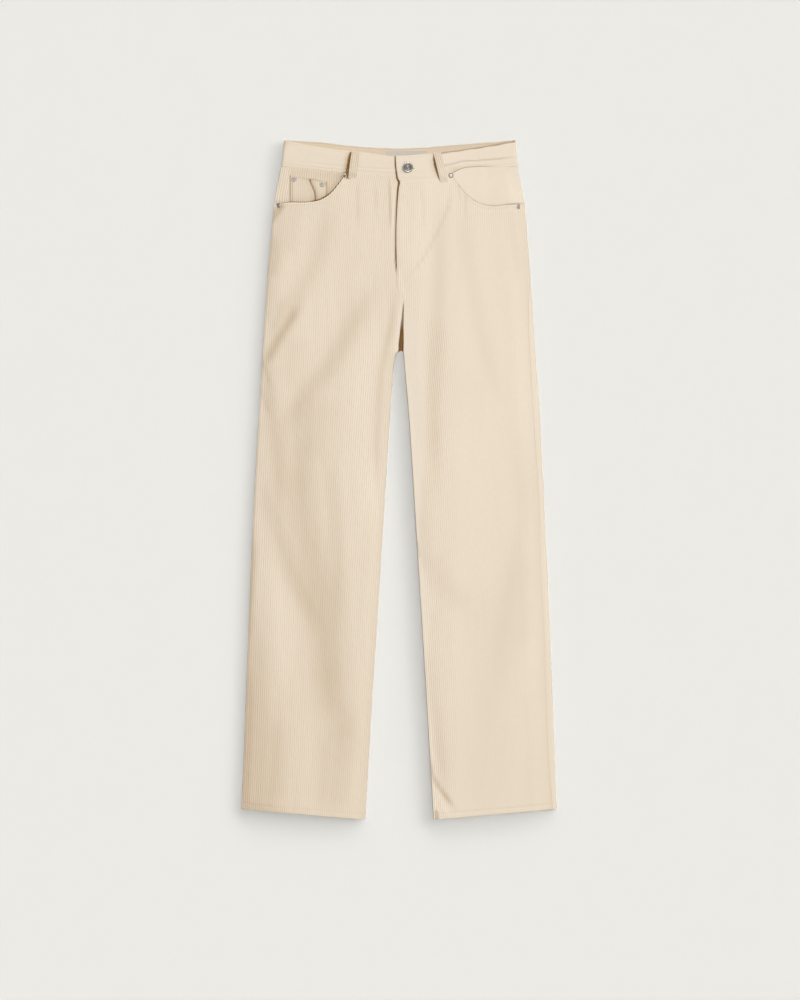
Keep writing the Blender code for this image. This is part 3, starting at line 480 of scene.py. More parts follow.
def lie(side, x, y):
    """Face of a front panel away from its folded edges."""
    height = CENTRE_HEIGHT - fold_depth(front_folds(side), x, y) - fly_gap(side, x, y)
    if side > 0:
        over = 1.0 - ease((x - 12.0) / 50.0)
        height = height + FLY_LIFT * over * ease((y - 286.0) / 58.0)
    meets_band = band_face(side, x) - BAND_STEP
    near_band = ease((y - front_seam(side, x)) / WAIST_EASE + 1.0)
    return height + (meets_band - height) * near_band


InnerEdge = namedtuple("InnerEdge", "width turn radius drop")


def inner_opening(y):
    """1 where a leg's inner edge lies lower than its middle, 0 above the crotch."""
    return ease((CROTCH_TOP + 6.0 - y) / 60.0)


def inner_edge(side, y):
    """How a front's inner edge ends: its place, and how it rolls down."""
    outer = outer_at(side, y)
    joined = y > CROTCH_TOP
    inner = np.where(joined, centre_at(CENTRE_FRONT, y), inner_at(side, y))
    lap = FLY_LAP * ease((y - FLY_BOTTOM) / 30.0) if side < 0 else 0.0
    leg_turn = ease((CROTCH_TOP + 6.0 - y) / 10.0)
    turn = QUARTER * leg_turn
    inner_roll = INNER_ROLL_RIGHT if side < 0 else INNER_ROLL_LEFT
    radius = np.full_like(turn, inner_roll)
    low = INNER_LOW + (SLIT_FLOOR - INNER_LOW) * ease((y - LEGS_PART) / 15.0)
    top = CENTRE_HEIGHT + (INNER_TOP - CENTRE_HEIGHT) * inner_opening(y)
    drop = leg_turn * (top - inner_roll - low)
    if side > 0:
        fly = ease((y - 318.0) / 16.0)
        turn = np.where(y > 306.0, QUARTER * fly, turn)
        radius = np.where(y > 306.0, FLY_ROLL, radius)
        drop = np.where(y > 306.0, 0.7 * fly, drop)
    return InnerEdge(np.abs(inner - outer) + lap, turn, radius, drop)


def top_height(side, distance, y, end):
    """Height of the front at a distance from its outer edge."""
    x = outer_at(side, y) - side * distance
    radius = side_radius(y)
    edge_top = back_lift(y) + 2 * radius
    rise = ease((distance - radius) / edge_at(OUTER_EASE, side, y) + 0.12)
    height = edge_top + (lie(side, x, y) - edge_top) * rise
    inner_rise = ease((end - distance) / edge_at(INNER_EASE, side, y) + 0.1)
    return height + (INNER_TOP - height) * (1.0 - inner_rise) * inner_opening(y)


def front_length(side, y):
    """Length of the front's section, from the fold at the side to its inner edge."""
    edge = inner_edge(side, y)
    flat = edge.width - side_radius(y) - edge.radius * np.sin(edge.turn)
    return side_radius(y) * QUARTER + flat + edge.radius * edge.turn + edge.drop


def front_at(side, y, t):
    """Place and height on the front at a length t along its section."""
    radius = side_radius(y)
    edge = inner_edge(side, y)
    angle = np.clip(t / radius, 0.0, QUARTER)
    past = np.clip(t - radius * QUARTER, 0.0, None)
    flat = edge.width - radius - edge.radius * np.sin(edge.turn)
    on_top = np.minimum(past, flat)
    distance = radius * (1 - np.cos(angle)) + on_top
    top = top_height(side, distance, y, radius + flat)
    height = np.where(on_top > 0, top, back_lift(y) + radius * (1 + np.sin(angle)))
    past = np.clip(past - flat, 0.0, None)
    roll = np.minimum(past / edge.radius, edge.turn)
    down = np.clip(past - edge.radius * edge.turn, 0.0, None)
    distance = distance + edge.radius * np.sin(roll) + down * np.cos(edge.turn)
    height = height - edge.radius * (1 - np.cos(roll)) - down * np.sin(edge.turn)
    return outer_at(side, y) - side * distance, height


def surface_height(side, x, y):
    """Height of the front's smooth face over a place."""
    distance = np.abs(x - outer_at(side, y))
    radius = side_radius(y)
    edge = inner_edge(side, y)
    end = edge.width - edge.radius * np.sin(edge.turn)
    drop = 1.0 - np.clip(distance / radius, 0.0, 1.0)
    arc = back_lift(y) + radius * (1 + np.sqrt(1.0 - drop ** 2))
    return np.where(distance < radius, arc, top_height(side, distance, y, end))


def panel_span(side, y):
    """Where a front's section starts and ends, and the pitch of its ribs."""
    def span(at):
        inner_gap = np.where(at > CROTCH_TOP, 0.2 * SEAM, SEAM)
        outer_gap = outseam_gap(side, at)
        return edge_at(OUTSEAMS, side, at) + outer_gap, front_length(side, at) - inner_gap
    start, end = span(y)
    low, high = (np.subtract(*span(np.array(at))[::-1]) for at in (LEGS_PART, FLY_BOTTOM))
    at_crotch = (y > LEGS_PART) & (y < FLY_BOTTOM)
    share = (y - LEGS_PART) / (FLY_BOTTOM - LEGS_PART)
    steady = np.where(at_crotch, low + (high - low) * share, end - start)
    return start, end, steady / PANEL_RIBS


def outseam_gap(side, y):
    """How far a panel stops from the outseam: less where the left one hardly shows."""
    closer = 0.05 + 0.05 * ease((70.0 - y) / 60.0)
    return SEAM - (closer if side > 0 else 0.0)


def seam_fade(side, x, y):
    """0 where ribs end under the waistband's seam, 1 below it."""
    return ease((front_seam(side, x) - y) / 2.2)


def ribs_needed(side):
    """Ribs at the widest part of a front, with those that its inner edge cuts off."""
    start, end, pitch = panel_span(side, LEG_ROWS)
    return max(PANEL_RIBS, int(np.ceil(np.max((end - start) / pitch))))


def panel_grid(side, y, columns):
    """Points of a front at heights y, its columns counted in ribs from the outer edge."""
    start, end, pitch = panel_span(side, y)
    free = start + pitch * columns
    cut = end - RIB_CUT
    pressed = (free - cut) / np.maximum(start + pitch * columns.max() - cut, RIB_CUT)
    x, z = front_at(side, y, np.where(free > cut, cut + RIB_CUT * pressed, free))
    return np.stack((x, y + np.zeros_like(x), z), axis=-1)


def rib_fade(side, y, columns):
    """0 where the ribs run into a front's inner edge, 1 elsewhere."""
    start, end, pitch = panel_span(side, y)
    return ease((end - RIB_CUT - start - pitch * columns) / 1.5)


def hem_line(x):
    leg = OUTER_EDGES[-1].left - INNER_EDGES[-1].left
    return -HALF_LENGTH + HEM_SLANT * (np.abs(x) - INNER_EDGES[-1].left) / leg


def front_top(side, x):
    """Upper edge of a front: its pocket mouth, then the waistband's seam."""
    return np.where(past_mouth(side, x), front_seam(side, x) - BAND_GAP,
                    np.minimum(mouth_height(side, x), front_seam(side, x)))


# ---- meshes ------------------------------------------------------------------------------

def rib_profile(ribs):
    """Rise of the cloth across ribs: round crowns between narrow grooves."""
    phase = np.arange(ribs * RIB_POINTS + 1) / RIB_POINTS
    rise = 2.0 * np.abs(np.sin(np.pi * phase)) ** 0.8 - 1.0
    rise[[0, -1]] = 0.0
    return rise * RIB_RISE


def uneven(grid, scale=0.2, flatter=1.0):
    """Unevenness of the ribs' height: slow waves, and flatter ribs on the left side."""
    x, y = grid[..., 0], grid[..., 1]
    waves = np.sin(x * 0.31 + np.sin(y * 0.021) * 2.0) + np.sin(y * 0.043 + x * 0.9)
    broken = np.sin(y * 0.61 + 3.0 * np.sin(x * 1.7)) * np.sin(y * 0.23 + x * 0.37)
    plain = ease((x - 50.0 * ease((300.0 - y) / 80.0)) / 60.0)
    by_inseam = ease((50.0 - x) / 14.0) * ease(x / 8.0) * ease((286.0 - y) / 60.0)
    low_leg = ease((-y - 120.0) / 200.0) * (1.0 - ease((x - 80.0) / 25.0))
    plain = np.maximum(plain, by_inseam) * (1.0 - 0.45 * low_leg)
    plain = plain * (1.0 - 0.5 * ease((y - 360.0) / 60.0))
    strong = 0.7 * ease((-x - 140.0) / 40.0) * ease((-y - 260.0) / 120.0)
    inner_band = bell(x - 66.0, 14.0) * ease((280.0 - y) / 40.0)
    strong = strong + 0.5 * inner_band * ease((y + 60.0) / 100.0)
    height = 1.35 + (strong - 1.25 * plain) * flatter
    return height * (1.0 + scale * waves * 0.5 + scale * broken)


def grid_normals(grid):
    """Unit normals of a grid of points."""
    along = np.gradient(grid, axis=0)
    across = np.gradient(grid, axis=1)
    normal = np.cross(across, along)
    return normal / np.maximum(np.linalg.norm(normal, axis=-1), 1e-9)[..., None]


def facing_up(grid, up):
    """Normals of a grid that point the way up says, at its middle."""
    normal = grid_normals(grid)
    middle = normal[normal.shape[0] // 2, normal.shape[1] // 2]
    return normal if middle[2] * up > 0 else -normal


def quads(index):
    """The four-sided faces of a grid of vertex numbers."""
    return np.stack((index[:-1, :-1], index[:-1, 1:], index[1:, 1:], index[1:, :-1]),
                    axis=-1).reshape(-1, 4)


def ply_faces(out, back, step):
    """Faces of a closed ply: its outer face, its inner face, then its rim."""
    faces = quads(out).tolist() + quads(back)[:, ::-1].tolist()
    for c in (0, -1):
        rim = np.stack((out[:-1, c], out[1:, c], back[1:, c], back[:-1, c]), axis=-1)
        faces += (rim if c == 0 else rim[:, ::-1]).tolist()
    for r in (0, -1):
        for j in range(back.shape[1] - 1):
            face = out[r, j * step:(j + 1) * step + 1].tolist()
            face += [int(back[r, j + 1]), int(back[r, j])]
            faces.append(face[::-1] if r == 0 else face)
    return faces


def shell(name, grid, rise, thickness, materials, up=1.0, step=RIB_POINTS, nap_and_painted_shade=0.0,
          gap_shadow=0.0, gap_shadow_inside=0.0):
    """A closed ply of cloth: a fine outer face over a plain inner one.

    rise lifts the outer points off the smooth grid, and the inner face has every
    step-th column. Attributes for the shading: rib is 0 in a groove and 1 on a crown,
    one holds the painted shade of the cloth, and one is 1 where shadow is painted in the deep
    gaps.
    """
    normal = facing_up(grid, up)
    rise = np.broadcast_to(rise, grid.shape[:2])
    outer = grid + normal * rise[..., None]
    thickness = np.broadcast_to(thickness, grid.shape[:2])
    inner = (grid - normal * thickness[..., None])[:, ::step]
    rows, columns = outer.shape[:2]
    inner_columns = inner.shape[1]
    verts = np.concatenate((outer.reshape(-1, 3), inner.reshape(-1, 3))) * MM
    out = np.arange(rows * columns).reshape(rows, columns)
    back = rows * columns + np.arange(rows * inner_columns).reshape(rows, inner_columns)
    faces = ply_faces(out, back, step)
    data = bpy.data.meshes.new(name)
    data.from_pydata(verts.tolist(), [], faces)
    mesh = bmesh.new()
    mesh.from_mesh(data)
    bmesh.ops.recalc_face_normals(mesh, faces=mesh.faces)
    mesh.to_mesh(data)
    mesh.free()
    plain = np.zeros(len(faces), int)
    plain_from = (rows - 1) * (columns - 1)
    plain[plain_from:plain_from + (rows - 1) * (inner_columns - 1)] = 1
    for material in materials:
        data.materials.append(material)
    if len(materials) > 1:
        data.polygons.foreach_set("material_index", plain)
    painted = {"rib": (0.5 + 0.5 * rise / RIB_RISE, 0.5), "nap_and_painted_shade": (nap_and_painted_shade, nap_and_painted_shade),
               "gap_shadow": (gap_shadow, gap_shadow_inside)}
    for attribute, (face, reverse) in painted.items():
        face = np.broadcast_to(face, grid.shape[:2]).ravel()
        reverse = np.broadcast_to(reverse, grid.shape[:2])[:, ::step].ravel()
        values = np.clip(np.concatenate((face, reverse)), 0.0, 1.5)
        data.attributes.new(attribute, "FLOAT", "POINT").data.foreach_set("value", values)
    data.shade_smooth()
    data.set_sharp_from_angle(angle=math.radians(62.0))
    return place(name, data)


def place(name, data):
    made = bpy.data.objects.new(name, data)
    bpy.context.scene.collection.objects.link(made)
    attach(made, "root")
    return made


def to_data(mesh, name, material):
    """Mesh data from a bmesh, which it frees."""
    data = bpy.data.meshes.new(name)
    mesh.to_mesh(data)
    mesh.free()
    data.materials.append(material)
    return data


def stands_for(piece, slot, *nodes):
    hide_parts(*nodes)
    return piece


# ---- materials ---------------------------------------------------------------------------

class Shader:
    """A Principled material, with short ways to add its nodes."""

    def __init__(self, name, roughness, metallic=0.0):
        self.material = bpy.data.materials.new(name)
        self.material.use_nodes = True
        self.tree = self.material.node_tree
        self.main = self.tree.nodes["Principled BSDF"]
        self.main.inputs["Roughness"].default_value = roughness
        self.main.inputs["Metallic"].default_value = metallic
        self.places = self.tree.nodes.new("ShaderNodeTexCoord").outputs["Object"]

    def node(self, kind, **inputs):
        made = self.tree.nodes.new("ShaderNode" + kind)
        for name, value in inputs.items():
            self.feed(made.inputs[name.replace("_", " ")], value)
        return made

    def feed(self, socket, value):
        if isinstance(value, bpy.types.NodeSocket):
            self.tree.links.new(value, socket)
        else:
            socket.default_value = value

    def stretched(self, scale):
        """Object places with each axis scaled."""
        node = self.node("Mapping", Vector=self.places, Scale=scale)
        return node.outputs["Vector"]

    def noise(self, scale, detail=2.0, stretch=(1.0, 1.0, 1.0)):
        node = self.node("TexNoise", Vector=self.stretched(stretch), Scale=scale, Detail=detail)
        return node.outputs["Fac"]

    def attribute(self, name):
        node = self.tree.nodes.new("ShaderNodeAttribute")
        node.attribute_name = name
        return node.outputs["Fac"]

    def span(self, value, low, high, to_low=0.0, to_high=1.0):
        node = self.node("MapRange")
        node.interpolation_type = "SMOOTHSTEP"
        self.feed(node.inputs[0], value)
        for socket, number in zip(node.inputs[1:5], (low, high, to_low, to_high)):
            socket.default_value = number
        return node.outputs[0]

    def mix(self, share, one, two):
        node = self.tree.nodes.new("ShaderNodeMix")
        node.data_type = "RGBA"
        for socket, value in zip((node.inputs[0], node.inputs[6], node.inputs[7]),
                                 (share, one, two)):
            self.feed(socket, (*value, 1.0) if isinstance(value, tuple) else value)
        return node.outputs[2]

    def sum(self, *parts):
        """Sum of (value, factor) pairs."""
        total = None
        for value, factor in parts:
            scaled = self.math("MULTIPLY", value, factor)
            total = scaled if total is None else self.math("ADD", total, scaled)
        return total

    def math(self, operation, one, two):
        node = self.tree.nodes.new("ShaderNodeMath")
        node.operation = operation
        self.feed(node.inputs[0], one)
        self.feed(node.inputs[1], two)
        return node.outputs[0]

    def finish(self, colour, height=None, strength=0.3, distance=0.0005):
        self.feed(self.main.inputs["Base Color"], colour)
        if height is not None:
            bump = self.node("Bump", Height=height, Strength=strength, Distance=distance)
            self.feed(self.main.inputs["Normal"], bump.outputs["Normal"])
        return self.material


CREAM = (0.916, 0.815, 0.676)
DARK_TONE_AND_SHADE = (0.64, 0.52, 0.38)        # a darker cream: painted shade, and random darker streaks of the pile
# Painted warm shade in the ribs' grooves.
GROOVE_SHADE = (0.76, 0.61, 0.44)
# Painted shadow in the deep gaps.
GAP_SHADOW_BROWN = (0.245, 0.128, 0.038)
# Dark and light tone of each other material.
WEAVE = ((0.72, 0.585, 0.43), (0.80, 0.68, 0.53))
TAPE = ((0.56, 0.51, 0.45), (0.66, 0.62, 0.56))
THREAD_TONES = ((0.80, 0.67, 0.51), (0.88, 0.77, 0.62))
TACK_TONES = ((0.42, 0.27, 0.21), (0.55, 0.38, 0.30))
FLOOR_TONES = ((0.424, 0.423, 0.411), (0.430, 0.429, 0.417))


def corduroy(name, ribs_along_y=True):
    """Cream cotton corduroy: brushed crowns, painted warm shade in the grooves, soft pile with
    random darker streaks, and painted shade and shadow from the cloth's attributes.
    """
    make = Shader(name, 0.92)
    fine = (1.0, 0.12, 1.0) if ribs_along_y else (0.12, 1.0, 1.0)
    nap_and_painted_shade = make.noise(38.0, 3.0, fine)
    patches = make.noise(9.0, 3.0, (1.0, 0.6, 1.0))
    fuzz = make.noise(1500.0, 2.0)
    strands = make.noise(900.0, 2.0, fine)
    broken = make.noise(240.0, 2.0, (1.0, 0.5, 1.0))
    # Painted shade from the cloth's attribute, then random darker pile streaks and patches.
    colour = make.mix(make.attribute("nap_and_painted_shade"), CREAM, DARK_TONE_AND_SHADE)
    colour = make.mix(make.span(nap_and_painted_shade, 0.35, 0.7, 0.0, 0.08), colour, DARK_TONE_AND_SHADE)
    colour = make.mix(make.span(patches, 0.35, 0.7, 0.0, 0.07), colour, DARK_TONE_AND_SHADE)
    # Painted warm shade in the ribs' grooves.
    groove = make.span(make.attribute("rib"), 0.0, 0.75, 0.56, 0.0)
    groove = make.math("MULTIPLY", groove, make.span(broken, 0.3, 0.7, 0.45, 1.25))
    colour = make.mix(groove, colour, GROOVE_SHADE)
    # Painted shadow in the deep gaps.
    colour = make.mix(make.attribute("gap_shadow"), colour, GAP_SHADOW_BROWN)
    height = make.sum((fuzz, 0.5), (strands, 0.5))
    make.main.inputs["Sheen Weight"].default_value = 0.22
    make.main.inputs["Sheen Roughness"].default_value = 0.5
    make.main.inputs["Sheen Tint"].default_value = (1.0, 0.95, 0.86, 1.0)
    make.main.inputs["Specular IOR Level"].default_value = 0.12
    return make.finish(colour, height, 0.35, 0.0003)


def plain_back():
    """The plain woven back of the corduroy, with painted shade, and with painted shadow in the
    deep gaps.
    """
    make = Shader("corduroy_inside", 0.95)
    warp = make.noise(1300.0, 1.0, (1.0, 0.25, 1.0))
    weft = make.noise(1300.0, 1.0, (0.25, 1.0, 1.0))
    weave = make.sum((warp, 0.5), (weft, 0.5))
    colour = make.mix(make.span(weave, 0.35, 0.65), *WEAVE)
    colour = make.mix(make.attribute("nap_and_painted_shade"), colour, DARK_TONE_AND_SHADE)
    colour = make.mix(make.attribute("gap_shadow"), colour, GAP_SHADOW_BROWN)
    make.main.inputs["Specular IOR Level"].default_value = 0.1
    return make.finish(colour, weave, 0.4, 0.0002)


def thread_material(name, dark, light):
    make = Shader(name, 0.7)
    twist = make.noise(2600.0, 1.0)
    colour = make.mix(make.span(twist, 0.3, 0.7), dark, light)
    make.main.inputs["Sheen Weight"].default_value = 0.15
    return make.finish(colour, twist, 0.3, 0.0001)


def label_material():
    """Plain woven tape, bare."""
    make = Shader("label_tape", 0.9)
    weave = make.sum((make.noise(1600.0, 1.0, (1.0, 0.2, 1.0)), 0.5),
                     (make.noise(1600.0, 1.0, (0.2, 1.0, 1.0)), 0.5))
    colour = make.mix(make.span(weave, 0.35, 0.65), *TAPE)
    return make.finish(colour, weave, 0.4, 0.0002)


def metal(name, dark, light, rings, tarnish, roughness):
    """Aged nickel, tarnished in its sunk rings (middle and width of each, mm)."""
    make = Shader(name, roughness, 1.0)
    stain = make.noise(420.0, 3.0)
    colour = make.mix(make.span(stain, 0.3, 0.7), dark, light)
    flat = make.node("VectorMath", Vector=make.stretched((1.0, 1.0, 0.0)))
    flat.operation = "LENGTH"
    for middle, width in rings:
        away = make.math("SUBTRACT", flat.outputs["Value"], middle * MM)
        away = make.math("ABSOLUTE", away, 0.0)
        ring = make.span(away, width * MM * 0.4, width * MM, 0.8, 0.0)
        colour = make.mix(ring, colour, tarnish)
    return make.finish(colour, make.noise(2400.0, 2.0), 0.15, 0.0001)


def floor_material():
    make = Shader("pale_floor", 0.9)
    grain = make.noise(700.0, 2.0)
    make.main.inputs["Specular IOR Level"].default_value = 0.0
    colour = make.mix(make.span(grain, 0.3, 0.7), *FLOOR_TONES)
    return make.finish(colour, grain, 0.05, 0.0002)


# ---- legs --------------------------------------------------------------------------------

HEM_SHARES = (0.28, 0.52, 0.76)      # rows between the hem and the leg's rows
HEM_STEPS = [0.0, 0.8, 2.0, 4.0, 6.5, 8.2, 9.2, 10.2, 12.0, 16.0, 22.0]
TOP_STEPS = [0.0, 0.35, 0.8, 1.4, 2.2, 3.2, 4.4, 6.0, 8.5, 12.0, 17.0, 24.0, 32.0, 40.0]
LEG_ROWS = np.concatenate((np.arange(-498.0, 180.0, 9.0), np.arange(181.0, 204.0, 4.5),
                           (205.4, 206.6), np.arange(211.0, 312.0, 4.5),
                           np.arange(316.0, 333.0, 5.0)))


def panel_heights(side, columns, top_of):
    """Heights of a panel's points: hem, legs and up to its own upper edge."""
    hem_x = panel_grid(side, HEM_SLANT / 2 - HALF_LENGTH, columns)[:, 0]
    hem = hem_line(hem_x)
    rows = [hem + step for step in HEM_STEPS]
    rows += [rows[-1] + (LEG_ROWS[0] - rows[-1]) * share for share in HEM_SHARES]
    rows += [np.full(len(columns), y) for y in LEG_ROWS]
    top = np.full(len(columns), 460.0)
    for _ in range(6):
        top = top_of(panel_grid(side, top, columns)[:, 0])
    low = LEG_ROWS[-1]
    high = top - TOP_STEPS[-1]
    rows += [low + (high - low) * share for share in np.linspace(0.0, 1.0, 11)[1:-1]]
    rows += [top - step for step in TOP_STEPS[::-1]]
    return np.array(rows)


def hem_strength(side, x):
    """How clearly the hem's stitch line shows: most at the right leg's outer end."""
    return 0.3 + (0.6 * ease((-x - 180.0) / 50.0) if side < 0 else 0.0)


# Painted shade along the hem's stitch line.
def hem_shade(side, x, heights):
    above = heights - heights[0]
    return 0.6 * hem_strength(side, x) * bell(above - HEM_DEPTH, 0.9)


def hem_profile(side, x, heights):
    """The hem: a rounded folded edge, and the dimple of its stitch line."""
    above = heights - heights[0]
    edge = -0.4 * rounding(above, 1.2)
    dimple = -hem_strength(side, x) * bell(above - HEM_DEPTH, 0.9)
    swell = 0.2 * bell(above - 4.6, 3.2)
    return edge + dimple + swell


def hem_ply(heights):
    """What the turned-up ply adds to the thickness, below the hem's stitch line."""
    above = heights - heights[0]
    return HEM_PLY * (1.0 - ease((above - HEM_DEPTH + 0.6) / 1.2))


def mouth_profile(side, grid):
    """The pocket mouth: its edge rolls down, with a stitch line beside it."""
    x, y = grid[..., 0], grid[..., 1]
    below = grid[-1, :, 1] - y
    reach, deep, gape = (1.6, 1.5, 0.8) if side < 0 else (1.0, 0.3, 0.0)
    roll = -deep * rounding(below, reach)
    lift = gape * bell(below, 9.0)
    dimple = -0.2 * bell(below - 6.0, 1.0)
    soft = 6.0 if side < 0 else 40.0
    at_mouth = ease((side * (x - mouth_end(side)) - 1.0) / soft)
    at_side = 1.0 - ease((12.0 - np.abs(x - outer_at(side, y))) / 12.0)
    return (roll + dimple + lift * at_side) * at_mouth


def mouth_painted_highlight(side, grid):
    """1 on the right pocket mouth's rolled edge, where a highlight is painted."""
    below = grid[-1, :, 1] - grid[..., 1]
    at_mouth = ease((side * (grid[..., 0] - mouth_end(side)) - 1.0) / 6.0)
    return bell(below, 1.8) * at_mouth


def outseam_shade(columns, pitch, y):
    """1 where shadow is painted in the line of the outseam, where it lies on the left front."""
    line = bell(columns * pitch, 0.9)
    return line * ease((300.0 - y) / 60.0) * (0.04 + 0.08 * ease((-y - 330.0) / 60.0))


def rim_shade(side, x, y):
    """Painted shade and light at the legs' edges: the left leg's outer edge, which faces the
    light, gets painted shade so that it looks no lighter than the rest; its inner edge gets
    painted light, and the right leg's inner edge painted shade below the crotch and painted light
    by the slit.
    """
    outer = np.abs(x - outer_at(side, y))
    inner = np.abs(x - inner_at(side, y))
    if side > 0:
        lighter = 0.30 * bell(inner, 15.0) * inner_opening(y)
        darker = 0.20
        return darker * bell(outer, 16.0) - lighter
    by_slit = ease((y - 195.0) / 15.0) * ease((300.0 - y) / 30.0)
    return (0.12 * inner_opening(y) - 0.4 * by_slit) * bell(inner, 6.0)


def slit_wall_shadow(side, x, y, z):
    """1 where shadow is painted on the walls of the slit at the crotch."""
    edge = np.abs(x - inner_at(side, y))
    inside = ease((y - 203.0) / 2.0) * ease((302.0 - y) / 8.0)
    strength = 1.0 - 0.6 * ease((y - 225.0) / 50.0)
    top, soft = (INNER_TOP - 1.2, 1.2) if side < 0 else (INNER_TOP - 0.2, 0.8)
    return strength * inside * ease((top - z) / soft) * (edge < 6.0)


def make_front(side, name, materials):
    ribs = ribs_needed(side)
    columns = np.linspace(0.0, ribs, ribs * RIB_POINTS + 1)
    heights = panel_heights(side, columns, lambda x: front_top(side, x))
    grid = panel_grid(side, heights, columns[None, :])
    grid[..., 2] += hem_profile(side, grid[..., 0], heights) + mouth_profile(side, grid)
    x, y = grid[..., 0], grid[..., 1]
    fade = rib_fade(side, heights, columns[None, :]) * seam_fade(side, x, y)
    rise = rib_profile(ribs)[None, :] * uneven(grid) * fade
    # Painted shade from the folds, the rims and the hem, a painted highlight on the right mouth's
    # rolled edge, and painted shadow in the gaps.
    nap_and_painted_shade = base_shade(side, y) + fold_shade(front_folds(side), x, y)
    nap_and_painted_shade = nap_and_painted_shade + rim_shade(side, x, y)
    nap_and_painted_shade = nap_and_painted_shade + hem_shade(side, x, heights)
    if side < 0:
        # Painted highlight on the right mouth's rolled edge.
        nap_and_painted_shade = nap_and_painted_shade - 0.25 * mouth_painted_highlight(side, grid)
        gap_shadow = fly_gap_shadow(x, y)
    else:
        gap_shadow = outseam_shade(columns[None, :], panel_span(side, heights)[2], y)
    gap_shadow = np.maximum(gap_shadow, slit_wall_shadow(side, x, y, grid[..., 2]))
    gap_shadow = np.maximum(gap_shadow, loop_gap_shadow(x, y))
    made = shell(name + "_cloth", grid, rise, CLOTH + hem_ply(heights), materials, nap_and_painted_shade=nap_and_painted_shade,
                 gap_shadow=gap_shadow)
    stands_for(made, "corduroy", name)
    return made


def back_folds(side):
    return BACK_FOLDS_RIGHT if side < 0 else BACK_FOLDS_LEFT


def back_at(side, y, u):
    """Place and height on the back at a length u from the fold at the side."""
    radius = side_radius(y)
    outer = outer_at(side, y)
    front_x, front_z = front_at(side, y, np.clip(-u, 0.0, None))
    angle = np.clip(u / radius, 0.0, QUARTER)
    past = np.clip(u - radius * QUARTER, 0.0, None)
    width, turn = back_inner(side, y)
    flat = width - radius - EDGE_RADIUS * np.sin(turn)
    on_floor = np.minimum(past, flat)
    distance = radius * (1 - np.cos(angle)) + on_floor
    roll = np.minimum(np.clip(past - flat, 0.0, None) / EDGE_RADIUS, turn)
    distance = distance + EDGE_RADIUS * np.sin(roll)
    x = outer - side * distance
    inside = ease((distance - 12.0) / 20.0) * ease((width - distance - 8.0) / 20.0)
    wrinkle = fold_depth(back_folds(side), x, y) * inside
    z = back_lift(y) + radius * (1 - np.sin(angle)) + EDGE_RADIUS * (1 - np.cos(roll))
    return np.where(u < 0, front_x, x), np.where(u < 0, front_z, z + wrinkle)


def back_inner(side, y):
    """Width of the back, and how far its inner edge turns up."""
    outer = outer_at(side, y)
    apart = ease((CROTCH_BOTTOM - 1.0 - y) / 6.0)
    inner = np.where(y > LEGS_PART, centre_at(CENTRE_BACK, np.maximum(y, LEGS_PART)),
                     inner_at(side, np.minimum(y, LEGS_PART)))
    blend = ease((CROTCH_BOTTOM + 0.4 - y) / 1.0)
    in_leg = inner_at(side, y)
    inner = np.where(y > LEGS_PART, inner + (in_leg - inner) * blend, inner)
    return np.abs(inner - outer), QUARTER * apart


def back_top(side, x):
    return height_at(BACK_SEAM, x) - 2 * SEAM


def make_back(side, name, materials):
    shares = np.linspace(0.0, 1.0, PANEL_RIBS * RIB_POINTS + 1)
    heights = panel_heights(side, shares * PANEL_RIBS, lambda x: back_top(side, x))
    wrap = edge_at(OUTSEAMS, side, heights) - outseam_gap(side, heights)
    width, turn = back_inner(side, heights)
    radius = side_radius(heights)
    length = (radius * QUARTER + width - radius - EDGE_RADIUS * np.sin(turn)
              + EDGE_RADIUS * turn - SEAM)
    u = -wrap + (length + wrap) * shares[None, :]
    x, z = back_at(side, heights, u)
    grid = np.stack((x, heights, z), axis=-1)
    # Painted shadow on the floor of the slit, then painted shade from the back's folds.
    slit_floor_shadow = ease((heights - 203.0) / 2.0) * ease((304.0 - heights) / 4.0)
    slit_floor_shadow = slit_floor_shadow * (np.abs(x - centre_at(CENTRE_BACK, heights)) < 16.0)
    slit_floor_shadow = slit_floor_shadow * (1.2 - 0.7 * ease((heights - 222.0) / 45.0))
    nap_and_painted_shade = base_shade(side, heights) + fold_shade(back_folds(side), x, heights)
    off_floor = ease((z - back_lift(heights)) / 1.5)
    rounded = rib_profile(PANEL_RIBS)[None, :] - RIB_RISE * (1.0 - off_floor)
    above = heights - heights[0]
    rounded = rounded * uneven(grid, 0.1, ease((z - 2.0) / 3.0))
    rounded = rounded - 0.4 * bell(above - HEM_DEPTH, 0.9) * (1.0 - off_floor)
    by_seam = bell(x - centre_at(CENTRE_BACK, heights), 5.0)
    turnings = TURNINGS * by_seam * ease((heights - 232.0) / 26.0) * ease((330.0 - heights) / 30.0)
    made = shell(name + "_cloth", grid, rounded, CLOTH + hem_ply(heights) + turnings,
                 materials, -1.0, nap_and_painted_shade=nap_and_painted_shade, gap_shadow_inside=slit_floor_shadow)
    stands_for(made, "corduroy", name)
    return made


# ---- pockets and fly ---------------------------------------------------------------------

def facing_depth(side, x, y):
    """How far the facing lies under the face of the front."""
    clear = y - np.where(past_mouth(side, x), front_seam(side, x), mouth_height(side, x))
    if side < 0:
        depth = np.interp(clear, (-14.0, -1.0, 0.8, 3.0, 9.0, 20.0),
                          (2.5, 2.6, 3.6, 2.4, 1.3, 0.7))
    else:
        depth = np.interp(clear, (-14.0, -0.5, 0.8, 2.0, 6.0, 20.0),
                          (2.3, 2.2, 1.2, 0.6, 0.35, 0.3))
    near_band = ease((y - front_seam(side, x)) / 13.0 + 1.0) * ease((clear - 4.0) / 8.0)
    from_side = np.abs(x - outer_at(side, y))
    near_side = ease((16.0 - from_side) / 14.0) * ease((clear - 2.0) / 6.0)
    return depth * (1.0 - np.maximum(0.98 * near_band, 0.9 * near_side))


